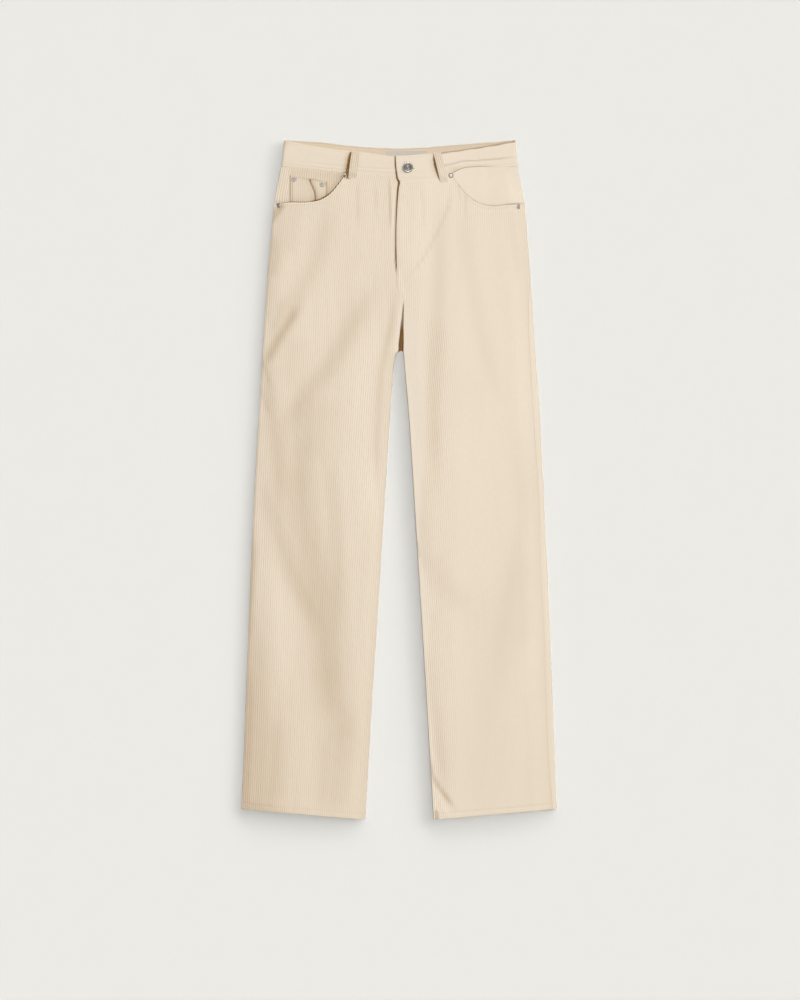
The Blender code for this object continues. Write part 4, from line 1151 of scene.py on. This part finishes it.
def facing_grid(side, shares, levels):
    """Points of a facing, from under the mouth up to the waistband."""
    inner_x = mouth_end(side) - side * FACING_INNER
    level, share = np.meshgrid(levels, shares, indexing="ij")
    y = np.full(share.shape, 450.0)
    for _ in range(8):
        side_x = outer_at(side, y)
        covered = ease((mouth_height(side, side_x) - 1.0 - y) / 3.0)
        t_end = np.abs(inner_x - side_x) - side_radius(y) * (1.0 - QUARTER)
        inset = FACING_INSET * covered * (1.0 - share) ** 3
        t = SEAM + (t_end - SEAM) * share + inset
        x, z = front_at(side, y, t)
        low = np.where(past_mouth(side, x), front_seam(side, x), mouth_height(side, x))
        low = low - FACING_LAP
        high = front_seam(side, x) - BAND_GAP
        y = low + (high - low) * level
    grid = np.stack((x, y, z), axis=-1)
    normal = facing_up(grid, 1.0)
    return grid - normal * facing_depth(side, x, y)[..., None]


def make_facing(side, name, materials):
    shares = np.linspace(0.0, 1.0, FACING_RIBS * RIB_POINTS + 1)
    levels = np.concatenate((np.linspace(0.0, 0.16, 5), np.linspace(0.18, 0.5, 14),
                             np.linspace(0.54, 1.0, 12)))
    grid = facing_grid(side, shares, levels)
    x, y = grid[..., 0], grid[..., 1]
    strength = 1.8 if side < 0 else 0.3
    rise = rib_profile(FACING_RIBS)[None, :] * uneven(grid) * seam_fade(side, x, y) * strength
    # Painted shadow in the mouth and beside the loops; painted shade above the right mouth.
    gap_shadow = np.maximum(mouth_gap_shadow(side, x, y), loop_gap_shadow(x, y))
    nap_and_painted_shade = base_shade(side, y)
    if side < 0:
        nap_and_painted_shade = nap_and_painted_shade + 0.02 + 0.2 * ease((x + 178.0) / 8.0) + mouth_shade(x, y)
    made = shell(name + "_cloth", grid, rise, FACING_CLOTH, materials, nap_and_painted_shade=nap_and_painted_shade, gap_shadow=gap_shadow)
    stands_for(made, "corduroy", name)
    return made


def coin_height(x, y):
    """Smooth face of the coin pocket over the right facing."""
    face = surface_height(-1, x, y) - facing_depth(-1, x, y)
    crease_x = centre_at(COIN_CREASE, y)
    crease = 1.4 * bell(x - crease_x, 1.8)
    puff = 0.9 * bell(x - crease_x - 6.0, 4.5)
    under_mouth = 1.6 * ease((1.5 - y + mouth_height(-1, x)) / 3.0)
    return face + RIB_RISE + 0.5 + COIN_CLOTH + puff - crease - under_mouth


def make_coin_pocket(materials):
    shares = np.linspace(0.0, 1.0, COIN_RIBS * RIB_POINTS + 1)
    levels = np.concatenate((np.linspace(0.0, 0.9, 22), (0.93, 0.955, 0.975, 0.99, 1.0)))
    level, share = np.meshgrid(levels, shares, indexing="ij")
    x = COIN_TOP[0].x + (COIN_TOP[-1].x - COIN_TOP[0].x) * share
    low = mouth_height(-1, x) - 1.5
    y = low + (height_at(COIN_TOP, x) - low) * level
    z = coin_height(x, y)
    from_side = np.minimum(x - x.min(), x.max() - x)
    from_top = height_at(COIN_TOP, x) - y
    near = np.minimum(from_side, from_top)
    z = z - 1.0 * rounding(near, 1.5)
    z = z - 0.35 * bell(near - 4.2, 0.9)
    grid = np.stack((x, y, z), axis=-1)
    rise = rib_profile(COIN_RIBS)[None, :] * 0.9 * uneven(grid)
    # Painted shadow along the crease, the top line and the edges, and painted shade at the rim and
    # by the crease.
    crease_x = centre_at(COIN_CREASE, y)
    crease = 0.85 * bell(x - crease_x + 0.4, 1.3)
    tuck = np.hypot((x - COIN_CREASE[0].x) / 1.6, (y - COIN_CREASE[0].y + 2.2) / 2.4)
    crease = np.maximum(crease, 0.8 * ease(1.6 - tuck))
    top_line = 0.5 * bell(from_top, 0.8) * ease((x + 144.0) / 3.0)
    crease = np.maximum(crease, top_line * ease((-122.0 - x) / 4.0))
    edge = 0.7 * bell(from_side, 0.9)
    second = 0.4 * bell(x - COIN_TOP[0].x - 4.0, 0.9)
    edge = np.maximum(edge, second * (from_top > 3.0))
    waver = 1.0 + 0.9 * np.sin(y * 0.35)
    edge = np.maximum(edge, 0.42 * bell(x.max() - x - waver, 1.2))
    gap_shadow = np.maximum(np.maximum(crease, edge), mouth_gap_shadow(-1, x, y))
    rim = 0.6 * bell(near, 1.6)
    nap_and_painted_shade = base_shade(-1, y) + 0.22 + mouth_shade(x, y) + rim
    nap_and_painted_shade = nap_and_painted_shade + 0.25 * bell(x - crease_x, 8.0)
    made = shell("coin_pocket_cloth", grid, rise, COIN_CLOTH - 0.4, materials, nap_and_painted_shade=nap_and_painted_shade,
                 gap_shadow=gap_shadow)
    stands_for(made, "corduroy", "coin_pocket")
    return made


# ---- waistband ---------------------------------------------------------------------------

def band_section(levels):
    """Rise of the waistband's face across its width: folded edges and stitch lines."""
    low = levels * BAND_HEIGHT
    high = (1.0 - levels) * BAND_HEIGHT
    edge = -0.05 * rounding(low, 1.0)
    edge = edge - 1.1 * rounding(high, 1.8)
    near = np.minimum(low, high)
    dimple = -0.2 * bell(near - 3.2, 0.9)
    return edge + dimple + 0.5 * ease(near / 12.0)


def band_crease(side, x, level):
    """A soft crease along the band, where it bends over the seam below it."""
    if side < 0:
        middle = 0.24 + 0.0002 * (x + 120.0)
        reach = ease((x + 178.0) / 40.0)
        return -0.4 * reach * bell(level - middle, 0.05)
    middle = np.interp(x, (-5.0, 60.0, 74.0, 123.0, 170.0), (0.3, 0.33, 0.44, 0.30, 0.34))
    reach = ease((x - 60.0) / 16.0) * ease((190.0 - x) / 30.0)
    return -(0.1 + 0.7 * reach) * bell(level - middle, 0.045)


def band_gap_shadow(side, x, y, level):
    """Painted shadow on a band: beside the loops, and beside the fly on the right band; on the
    left band also along its top edge, in the dots of its seam and in its crease.
    """
    gap_shadow = loop_gap_shadow(x, y)
    if side < 0:
        return np.maximum(gap_shadow, fly_gap_shadow(x, y))
    gap = 2.6 + 0.4 * ease((x - 90.0) / 40.0) + 0.4 * np.sin(x * 0.21)
    top_gap = ease((gap - (1.0 - level) * BAND_HEIGHT) / 1.0 + 0.5) * ease((x - 40.0) / 40.0)
    dots = 0.65 + 0.35 * np.sin(2 * math.pi * x / STITCH_STEP)
    dots = dots * bell(level * BAND_HEIGHT - 0.8, 0.9) * ease((x - 80.0) / 4.0)
    dots = dots * ease((168.0 - x) / 40.0)
    crease = 0.26 * np.clip(-band_crease(side, x, level), 0.0, 1.0)
    gap_shadow = np.maximum(np.maximum(gap_shadow, 0.62 * top_gap), 0.9 * dots)
    return np.maximum(gap_shadow, crease)


def band_grid(side, places, levels):
    """Points of a front waistband: along it, then round the side to the back."""
    rows = []
    face_side = side * np.array(BAND_SIDE)
    for x in places:
        seam = front_seam(side, x)
        y = seam + (height_at(FRONT_TOP, x) - seam) * levels
        z = band_face(side, x) + band_section(levels) + band_crease(side, x, levels)
        rows.append(np.stack((np.full_like(levels, x), y, z), axis=-1))
    for turn in BAND_TURNS:
        rows.append(band_turn(side, face_side, turn, levels))
    end = rows[-1].copy()
    end[:, 0] -= side * (BAND_TURN - (band_face(side, face_side) - BAND_REST) / 2)
    low = height_at(BACK_SEAM, end[:, 0])
    end[:, 1] = low + (height_at(BACK_TOP, end[:, 0]) - low) * levels
    rows.append(end)
    return np.array(rows)


def band_turn(side, face_side, turn, levels):
    """A row of the waistband where it turns over the side."""
    under = turn > QUARTER
    lower = height_at(BACK_SEAM, face_side) if under else front_seam(side, face_side)
    upper = height_at(BACK_TOP if under else FRONT_TOP, face_side)
    y = lower + (upper - lower) * levels
    edge = outer_at(side, y)
    radius = (band_face(side, edge) - BAND_REST) / 2
    out = radius + band_section(levels) * (0.0 if under else 1.0)
    x = edge - side * radius + side * out * math.sin(turn)
    z = BAND_REST + radius + out * math.cos(turn)
    return np.stack((x, y, z), axis=-1)


def make_band_front(side, name, materials):
    levels = np.linspace(0.0, 1.0, BAND_RIBS * RIB_POINTS + 1)
    outer = abs(outer_at(side, 520.0)) - 5.0
    if side < 0:
        places = np.arange(BAND_END_RIGHT, -outer, -BAND_PITCH)
        places = np.concatenate((places, [-outer]))
    else:
        edge = float(centre_at(CENTRE_FRONT, 500.0))
        places = np.concatenate((edge + np.array((0.0, 0.3, 0.8, 1.5, 2.4)),
                                 np.arange(edge + 3.5, outer, BAND_PITCH), [outer]))
    grid = band_grid(side, places, levels)
    if side > 0:
        slant = 1.0 - ease((grid[..., 0] - edge) / 25.0)
        grid[..., 0] += (centre_at(CENTRE_FRONT, grid[..., 1]) - edge) * slant
        from_end = grid[..., 0] - grid[0, :, 0]
        fold = rounding(from_end, 2.4)
        grid[..., 2] -= 1.6 * fold
    under = np.arange(len(grid)) > len(grid) - 7
    x, y = grid[..., 0], grid[..., 1]
    gap_shadow = np.where(under[:, None], 0.0, band_gap_shadow(side, x, y, levels[None, :]))
    grid[..., 2] -= 1.2 * np.where(under[:, None], 0.0, gap_shadow)
    soft = 0.12 + 0.08 * np.sin(x * 0.05 + levels * 9.0)
    rise = np.where(under[:, None], 0.0, rib_profile(BAND_RIBS)[None, :] * soft)
    # Painted shade beside the loops, on the left band by the pocket's top rivet, and in the right
    # band's upper corner.
    nap_and_painted_shade = base_shade(side, y) + loop_shade(x, y)
    if side > 0:
        nap_and_painted_shade = nap_and_painted_shade + 0.5 * bell(np.hypot((x - 92.0) / 14.0, (y - 494.0) / 6.0), 1.0)
    else:
        nap_and_painted_shade = nap_and_painted_shade + 0.5 * bell(np.hypot((x + 184.0) / 8.0, (y - 540.0) / 7.0), 1.0)
    made = shell(name + "_cloth", grid, rise, BAND - 0.6, materials, nap_and_painted_shade=nap_and_painted_shade, gap_shadow=gap_shadow)
    stands_for(made, "corduroy", name)
    return made


def make_band_back(materials):
    levels = np.linspace(0.0, 1.0, BAND_RIBS * RIB_POINTS + 1)
    shares = np.linspace(0.0, 1.0, 120)
    share, level = np.meshgrid(shares, levels, indexing="ij")
    x = np.zeros(share.shape)
    for _ in range(5):
        low = height_at(BACK_SEAM, x)
        y = low + (height_at(BACK_TOP, x) - low) * level
        ends = [outer_at(side, y) - side * (BAND_TURN + 0.3) for side in (-1, 1)]
        x = ends[0] + (ends[1] - ends[0]) * share
    near = np.minimum(level, 1.0 - level) * BAND_HEIGHT
    edge = rounding(near, 1.6)
    grid = np.stack((x, y, BAND_REST + RIB_RISE + 0.9 * edge), axis=-1)
    rise = rib_profile(BAND_RIBS)[None, :] * 0.75
    # Painted shade along the back band's rims.
    rim = 0.9 * bell(near, 0.8)
    made = shell("waistband_back_cloth", grid, rise, BAND - RIB_RISE - 0.4, materials, -1.0,
                 nap_and_painted_shade=0.15 + rim)
    stands_for(made, "corduroy", "waistband_back")
    return made


def loop_share(loop, y):
    """0 at the lower end of a belt loop, 1 at its upper end."""
    return (y - loop.y_bottom) / (loop.y_top - loop.y_bottom)


def loop_gap(loop, share):
    """Place of a loop's left edge, and the width of the painted shadow beside it."""
    edge = loop.x_bottom + (loop.x_top - loop.x_bottom) * share - LOOP_WIDTH / 2
    return edge, np.interp(share, WEDGE_SHARES, loop.wedge)


def loop_wedge_shadow(loop, x, y):
    """1 where shadow is painted at the left edge of a belt loop, and under it."""
    edge, width = loop_gap(loop, np.clip(loop_share(loop, y), 0.0, 1.0))
    past = edge - x
    inside = ease((width - past) / 1.0 + 0.5) * (past > -2.5) * (width > 0.05)
    return inside * (y > loop.y_bottom) * (y < loop.y_top)


def loop_gap_shadow(x, y):
    """1 where shadow is painted beside either of the front loops."""
    return np.maximum.reduce([loop_wedge_shadow(loop, x, y) for loop in FRONT_LOOPS])


def loop_shade(x, y):
    """Painted soft shadow on what lies left of the belt loops."""
    shade = np.zeros(np.broadcast(x, y).shape)
    for loop in FRONT_LOOPS:
        edge, width = loop_gap(loop, loop_share(loop, y))
        past = np.clip(edge - width - x, 0.0, None) + np.where(x > edge + 2.0, 20.0, 0.0)
        shade = shade + 0.18 * width * bell(past, 5.0)
    return shade


def make_front_loop(loop, under, materials):
    """A belt loop over the waistband: its left edge stands higher off the band."""
    shares = np.linspace(0.0, 1.0, 34)
    across = np.linspace(-0.5, 0.5, LOOP_RIBS * RIB_POINTS + 1)
    grid = np.zeros((len(shares), len(across), 3))
    low_end = ease((shares - 0.8) / 0.2)
    for i, share in enumerate(shares):
        middle = loop.x_top + (loop.x_bottom - loop.x_top) * share
        y = loop.y_top + (loop.y_bottom - loop.y_top) * share
        bow = math.sin(math.pi * min(max((share - 0.04) / 0.86, 0.0), 1.0))
        sunk = LOOP_CLOTH * low_end[i]
        tip = 0.8 * rounding(share * LOOP_LENGTH, 1.6)
        for j, a in enumerate(across):
            x = middle + a * LOOP_WIDTH
            base = max(drop_height(under, x, y + reach) for reach in (-3.0, 0.0, 3.0))
            lift = loop.arch * bow * (1.0 - 0.8 * (a + 0.5))
            lift = lift + loop.lean * bow * (0.5 - a) * 0.4
            grid[i, j] = (x, y, base + 0.35 + LOOP_CLOTH + lift - tip - sunk)
    edge = np.minimum(across + 0.5, 0.5 - across) * LOOP_WIDTH
    grid[..., 2] -= 0.6 * rounding(edge, 1.0)
    rise = rib_profile(LOOP_RIBS)[None, :] * 0.9 * (1.0 - low_end[:, None])
    thickness = (LOOP_CLOTH - 0.5) * (1.0 - 0.75 * low_end[:, None])
    # Painted shade in the loop's grooves and along its edges.
    grooves = 0.75 * (1.0 - rise / RIB_RISE) * (0.4 + 0.6 * ease((0.7 - shares) / 0.4))[:, None]
    nap_and_painted_shade = base_shade(loop.side, 500.0) + grooves + 0.4 * bell(edge, 0.9)[None, :]
    made = shell(loop.node + "_cloth", grid, rise, thickness, materials, nap_and_painted_shade=nap_and_painted_shade)
    stands_for(made, "corduroy", loop.node)
    return made


def make_back_loop(name, x, materials):
    """A belt loop on the underside, flat where the waistband rests on it."""
    across = np.linspace(-0.5, 0.5, LOOP_RIBS * RIB_POINTS + 1) * LOOP_WIDTH
    low = float(height_at(BACK_SEAM, x)) + 1.0
    high = float(height_at(BACK_TOP, x)) - 1.0
    ys = np.linspace(low, high, 20)
    y, a = np.meshgrid(ys, across, indexing="ij")
    near = np.minimum(np.minimum(y - low, high - y), LOOP_WIDTH / 2 - np.abs(a))
    edge = 0.5 * rounding(near, 1.0)
    grid = np.stack((x + a, y, RIB_RISE + edge), axis=-1)
    node = "belt_loop_back_" + name
    made = shell(node + "_cloth", grid, rib_profile(LOOP_RIBS)[None, :], BACK_LOOP_CLOTH,
                 materials, -1.0)
    stands_for(made, "corduroy", node)


def make_label(material):
    """The bare label inside the back waistband."""
    base = BAND_REST + BAND + 0.3
    across = np.linspace(-0.5, 0.5, 25) * LABEL_SIZE[0]
    up = np.linspace(-0.5, 0.5, 13) * LABEL_SIZE[1]
    b, a = np.meshgrid(up, across, indexing="ij")
    near = np.minimum(LABEL_SIZE[0] / 2 - np.abs(a), LABEL_SIZE[1] / 2 - np.abs(b))
    z = base + LABEL_SIZE[2] - 0.35 * bell(near - 1.5, 0.8) + 0.15 * np.sin(a * 0.3)
    grid = np.stack((LABEL_CENTRE[0] + a, LABEL_CENTRE[1] + b, z), axis=-1)
    made = shell("waist_label_tape", grid, 0.0, LABEL_CLOTH, [material], step=1)
    stands_for(made, "label", "waist_label")


# ---- stitching ---------------------------------------------------------------------------

def drop_height(trees, x, y):
    """Height in mm of the highest cloth under a place."""
    start = Vector((x * MM, y * MM, 0.1))
    heights = []
    for tree in trees:
        hit = tree.ray_cast(start, Vector((0.0, 0.0, -1.0)))[0]
        if hit is not None:
            heights.append(hit.z / MM)
    return max(heights) if heights else 0.0


def trees_of(*pieces):
    graph = bpy.context.evaluated_depsgraph_get()
    return [BVHTree.FromObject(piece, graph) for piece in pieces]


def walk(points, step):
    """Places along a path, a step apart, with the direction there."""
    points = np.array(points, float)
    along = np.concatenate(([0.0], np.cumsum(np.hypot(*np.diff(points, axis=0).T))))
    stops = np.arange(step / 2, along[-1], step)
    x = np.interp(stops, along, points[:, 0])
    y = np.interp(stops, along, points[:, 1])
    ahead_x = np.interp(stops + 0.5, along, points[:, 0])
    ahead_y = np.interp(stops + 0.5, along, points[:, 1])
    behind_x = np.interp(stops - 0.5, along, points[:, 0])
    behind_y = np.interp(stops - 0.5, along, points[:, 1])
    return list(zip(x, y, ahead_x - behind_x, ahead_y - behind_y))


def sew(mesh, trees, points, half):
    """Add stitches along a path: each a short thread that dips in at its ends."""
    for x, y, run_x, run_y in walk(points, STITCH_STEP):
        run = np.array((run_x, run_y)) / max(math.hypot(run_x, run_y), 1e-6)
        ends = [(x + run[0] * s * STITCH / 2, y + run[1] * s * STITCH / 2) for s in (-1, 1)]
        z_ends = [drop_height(trees, *end) for end in ends]
        z = max(drop_height(trees, x, y), sum(z_ends) / 2)
        if min(z_ends) < max(z - 2.0, 1.0):     # an end would hang off the cloth
            continue
        side = np.array((-run[1], run[0]))
        rings = []
        for s, size, lift in STITCH_RINGS:
            centre = np.array((x, y)) + run * STITCH * s
            ring = []
            for angle in STITCH_CORNERS:
                off = side * math.cos(angle) * half * size
                up = math.sin(angle) * half * size
                ring.append(mesh.verts.new(((centre[0] + off[0]) * MM,
                                            (centre[1] + off[1]) * MM,
                                            (z + lift + up) * MM)))
            rings.append(ring)
        tips = [mesh.verts.new((end[0] * MM, end[1] * MM, (z - 0.25) * MM)) for end in ends]
        for ring, tip, order in ((rings[0], tips[0], 1), (rings[-1], tips[1], -1)):
            for k in range(4):
                face = (ring[k], ring[(k + 1) % 4], tip)
                mesh.faces.new(face[::order])
        for low, high in zip(rings, rings[1:]):
            for k in range(4):
                mesh.faces.new((low[k], high[k], high[(k + 1) % 4], low[(k + 1) % 4]))


def line(curve, x_from, x_to, offset):
    """A path along a curve of places, moved along Y."""
    xs = np.linspace(x_from, x_to, PATH_POINTS)
    return list(zip(xs, height_at(curve, xs) + offset))


def shifted(curve, distance):
    """A path beside a curve of places, at a distance on its lower side."""
    xs = np.linspace(curve[0].x, curve[-1].x, 80)
    path = np.column_stack((xs, height_at(curve, xs)))
    run = np.gradient(path, axis=0)
    run /= np.hypot(*run.T)[:, None]
    return path + np.column_stack((run[:, 1], -run[:, 0])) * distance


BAND_END = [(-2.4, 482.0), (-2.2, 514.6)]
FLY_CURVE = [
    (81.6, 470.0), (78.0, 440.0), (69.0, 412.0), (59.2, 390.0), (48.0, 368.0),
    (36.8, 351.4), (26.0, 337.0), (14.4, 322.6), (3.0, 314.0),
]
FLY_EDGE = [(2.2, 474.0), (2.2, 452.0), (-0.4, 409.0), (0.4, 336.0)]
BUTTONHOLE = [[(22.0, 497.9), (26.6, 496.8)], [(22.0, 497.1), (26.6, 496.0)]]
COIN_EDGE = [
    (-172.4, 446.0), (-172.4, 484.2), (-141.0, 478.9), (-117.0, 474.2), (-117.0, 456.0),
]


def make_stitching(name, paths, trees, material, half=THREAD):
    mesh = bmesh.new()
    for path in paths:
        sew(mesh, trees, path, half)
    bmesh.ops.recalc_face_normals(mesh, faces=mesh.faces)
    data = to_data(mesh, name, material)
    data.shade_smooth()
    made = place(name, data)
    return made


# ---- metal -------------------------------------------------------------------------------

def turned(name, profile, x, y, z, tilt, material, steps=56):
    """A turned piece from its profile (radius, height), top to bottom."""
    mesh = bmesh.new()
    points = [mesh.verts.new((radius * MM, 0.0, height * MM)) for radius, height in profile]
    for one, two in zip(points, points[1:]):
        mesh.edges.new((one, two))
    bmesh.ops.spin(mesh, geom=mesh.verts[:] + mesh.edges[:], cent=(0.0, 0.0, 0.0),
                   axis=(0.0, 0.0, 1.0), angle=2 * math.pi, steps=steps, use_merge=True)
    bmesh.ops.remove_doubles(mesh, verts=mesh.verts, dist=0.000004)
    bmesh.ops.recalc_face_normals(mesh, faces=mesh.faces)
    data = to_data(mesh, name, material)
    data.shade_smooth()
    data.set_sharp_from_angle(angle=math.radians(38.0))
    made = place(name + "_metal", data)
    made.rotation_euler = [math.radians(angle) for angle in tilt]
    made.location = (x * MM, y * MM, z * MM)
    return stands_for(made, "metal", name)


def rounded_profile(points, radius=0.12):
    """Each corner of a profile cut by two points, so that its edge catches light."""
    points = [np.array(point, float) for point in points]
    made = [tuple(points[0])]
    for before, corner, after in zip(points, points[1:], points[2:]):
        for other in (before, after):
            run = other - corner
            length = max(float(np.hypot(*run)), 1e-6)
            made.append(tuple(corner + run / length * min(radius, length * 0.4)))
    return made + [tuple(points[-1])]


def make_button(trees, material):
    """The shank button: a dished head with concentric rings, on its post."""
    x, y = BUTTON_PLACE
    base = drop_height(trees, x + 6.0, y)
    r = BUTTON_RADIUS
    head = [(0.0, 2.55), (0.16 * r, 2.55), (0.2 * r, 2.2), (0.3 * r, 2.2), (0.34 * r, 2.5),
            (0.46 * r, 2.5), (0.5 * r, 2.15), (0.6 * r, 2.15), (0.66 * r, 2.95),
            (0.8 * r, 3.3), (0.93 * r, 3.05), (r, 2.2), (0.97 * r, 1.5), (0.62 * r, 0.8),
            (0.18 * r, 0.2), (0.16 * r, -2.6), (0.0, -2.6)]
    turned("button", rounded_profile(head), x, y, base + 0.6, (16.0, 6.0, 0.0), material)


def make_rivets(trees, metals):
    r = RIVET_RADIUS
    head = [(0.0, 1.55), (0.22 * r, 1.5), (0.32 * r, 0.8), (0.5 * r, 0.75), (0.66 * r, 1.35),
            (0.82 * r, 1.3), (r, 0.5), (r, -0.2), (0.0, -0.2)]
    for rivet in RIVETS:
        base = max(drop_height(trees, rivet.x + dx, rivet.y + dy)
                   for dx in (-2.6, 0.0, 2.6) for dy in (-2.6, 0.0, 2.6))
        turned(rivet.node, rounded_profile(head, 0.1), rivet.x, rivet.y,
               base + 0.1 - 0.02 * abs(rivet.tilt), (0.0, rivet.tilt, 0.0),
               metals.get(rivet.node, metals["rivet_coin"]), 36)


# ---- stage -------------------------------------------------------------------------------

CAMERA_CENTRE = (1.6, -32.6, 8.0)
VIEW_LONG = 1600.0           # what the longer side of the picture shows, mm
LENS = 85.0
SENSOR = 36.0
FLOOR_SIZE = 20.0            # metres
FLOOR_HEIGHT = -0.0002       # metres

# A sun's light comes from an azimuth, from +X towards +Y, and an elevation, in degrees.
Sun = namedtuple("Sun", "name azimuth elevation spread energy")
FLOOR_SUNS = [
    Sun("floor_light_side", 12.0, 15.0, 16.0, 2.4),
    Sun("floor_light_corner", 45.0, 15.0, 16.0, 1.9),
    Sun("floor_light_top", 78.0, 15.0, 16.0, 1.8),
    Sun("floor_light_high", 36.0, 28.0, 26.0, 1.0),
    Sun("floor_light_above", 45.0, 88.0, 10.0, 1.5),
]
MIDDLE_SUN = Sun("middle_light", 52.0, 38.0, 44.0, 0.75)
HIGH_SUN = Sun("high_light", 50.0, 80.0, 22.0, 1.63)
FLOOR_TINT = (1.0, 0.985, 0.96)
SUN_TINT = (1.0, 0.99, 0.975)
SURROUND = (0.985, 0.99, 1.0, 1.0)
SURROUND_STRENGTH = 0.324


def make_camera():
    camera = bpy.data.cameras.new("camera")
    camera.lens = LENS
    camera.sensor_width = SENSOR
    camera.sensor_fit = "AUTO"
    camera.clip_end = 50.0
    made = bpy.data.objects.new("camera", camera)
    bpy.context.scene.collection.objects.link(made)
    x, y, z = CAMERA_CENTRE
    made.location = (x * MM, y * MM, (z + VIEW_LONG * LENS / SENSOR) * MM)
    bpy.context.scene.camera = made


def make_floor(material):
    mesh = bmesh.new()
    bmesh.ops.create_grid(mesh, x_segments=2, y_segments=2, size=FLOOR_SIZE)
    made = bpy.data.objects.new("floor", to_data(mesh, "floor", material))
    made.location = (0.0, 0.0, FLOOR_HEIGHT)
    bpy.context.scene.collection.objects.link(made)
    alone = bpy.data.collections.new("floor_only")
    alone.objects.link(made)
    others = bpy.data.collections.new("not_floor")
    others.objects.link(made)
    others.collection_objects[0].light_linking.link_state = "EXCLUDE"
    return alone, others


def add_sun(sun, tint):
    light = bpy.data.lights.new(sun.name, "SUN")
    light.energy = sun.energy
    light.angle = math.radians(sun.spread)
    light.color = tint
    made = bpy.data.objects.new(sun.name, light)
    bpy.context.scene.collection.objects.link(made)
    around, up = math.radians(sun.azimuth), math.radians(sun.elevation)
    comes_from = Vector((math.cos(around) * math.cos(up), math.sin(around) * math.cos(up),
                         math.sin(up)))
    made.rotation_euler = comes_from.to_track_quat("Z", "Y").to_euler()
    made.location = comes_from * 3.0
    return made


def make_light(floor_only, not_floor):
    """Soft lights from the upper right, most from near the camera, and a surround.

    The floor lights only draw the soft shadow on the floor, and the middle light only
    shades the garment.
    """
    for sun in FLOOR_SUNS:
        add_sun(sun, FLOOR_TINT).light_linking.receiver_collection = floor_only
    middle = add_sun(MIDDLE_SUN, SUN_TINT)
    middle.light_linking.receiver_collection = not_floor
    add_sun(HIGH_SUN, SUN_TINT)
    world = bpy.data.worlds.new("surround")
    world.use_nodes = True
    background = world.node_tree.nodes["Background"]
    background.inputs["Color"].default_value = SURROUND
    background.inputs["Strength"].default_value = SURROUND_STRENGTH
    bpy.context.scene.world = world
    bpy.context.scene.view_settings.view_transform = "Standard"


# ---- the garment -------------------------------------------------------------------------

along = corduroy("corduroy")
around = corduroy("corduroy_band", ribs_along_y=False)
inside = plain_back()
thread = thread_material("thread", *THREAD_TONES)
tack_thread = thread_material("tack_thread", *TACK_TONES)
grey_metal = metal("aged_nickel", (0.36, 0.34, 0.32), (0.60, 0.57, 0.54),
                   ((2.1, 1.0), (4.7, 1.2)), (0.16, 0.14, 0.12), 0.44)
coin_metal = metal("coin_rivet_nickel", (0.50, 0.46, 0.43), (0.66, 0.61, 0.57),
                   ((1.7, 0.9),), (0.36, 0.32, 0.29), 0.55)
rivet_metal = metal("rivet_nickel", (0.60, 0.55, 0.50), (0.86, 0.80, 0.74),
                    ((3.0, 1.1),), (0.20, 0.13, 0.075), 0.5)
# A darker copy of the nickel: painted shade for the right mouth's top rivet, which lies in a
# loop's shadow.
loop_shadow_metal = metal("shaded_nickel", (0.50, 0.45, 0.40), (0.80, 0.75, 0.69),
                   ((1.2, 1.9),), (0.10, 0.075, 0.055), 0.5)

make_camera()
make_light(*make_floor(floor_material()))

fronts, facings, bands = {}, {}, {}
for side_name, sign in (("right", -1), ("left", 1)):
    make_back(sign, "back_panel_" + side_name, [along, inside])
    fronts[sign] = make_front(sign, "front_panel_" + side_name, [along, inside])
    facings[sign] = make_facing(sign, "pocket_facing_" + side_name, [along, inside])
    bands[sign] = make_band_front(sign, "waistband_front_" + side_name, [around, inside])
coin_pocket = make_coin_pocket([along, inside])
make_band_back([around, inside])
make_label(label_material())
for loop_name, loop_x in BACK_LOOP_PLACES.items():
    make_back_loop(loop_name, loop_x, [along, inside])

covers = trees_of(*fronts.values(), *facings.values(), *bands.values(), coin_pocket)
for loop_path in FRONT_LOOPS:
    make_front_loop(loop_path, covers, [along, inside])
make_button(trees_of(bands[1]), grey_metal)
make_rivets(covers, {"rivet_coin": coin_metal, "rivet_mouth_top_left": rivet_metal,
                     "rivet_mouth_top_right": loop_shadow_metal, "rivet_mouth_side_left": coin_metal,
                     "rivet_mouth_side_right": grey_metal})

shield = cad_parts["fly_shield"]
shield.data.materials.clear()
shield.data.materials.append(inside)

hem_paths = []
for sign in (-1, 1):
    hem_x = np.linspace(inner_at(sign, -HALF_LENGTH) + sign * 4.0,
                        outer_at(sign, -HALF_LENGTH) - sign * 5.0, 40)
    hem_paths.append(list(zip(hem_x, hem_line(hem_x) + HEM_DEPTH)))
band_paths = [
    line(RIGHT_SEAM, -186.0, -8.0, BAND_INSET), line(FRONT_TOP, -182.0, -10.0, -BAND_INSET),
    line(LEFT_SEAM, -1.0, 188.0, BAND_INSET), line(FRONT_TOP, -1.0, 184.0, -BAND_INSET),
    BAND_END,
]
mouth_paths = [shifted(mouth, MOUTH_INSET) for mouth in (RIGHT_MOUTH, LEFT_MOUTH)]
on_fronts, on_bands = trees_of(*fronts.values()), trees_of(*bands.values())
on_left_front, on_left_band = trees_of(fronts[1]), trees_of(bands[1])
make_stitching("stitches_hem", hem_paths, on_fronts, thread)
make_stitching("stitches_band", band_paths, on_bands, thread, BAND_THREAD)
make_stitching("stitches_mouths", mouth_paths, on_fronts, thread, MOUTH_THREAD)
make_stitching("stitches_fly", [FLY_CURVE, FLY_EDGE], on_left_front, thread)
make_stitching("stitches_buttonhole", BUTTONHOLE, on_left_band, tack_thread)
make_stitching("stitches_coin", [COIN_EDGE], trees_of(coin_pocket), thread)
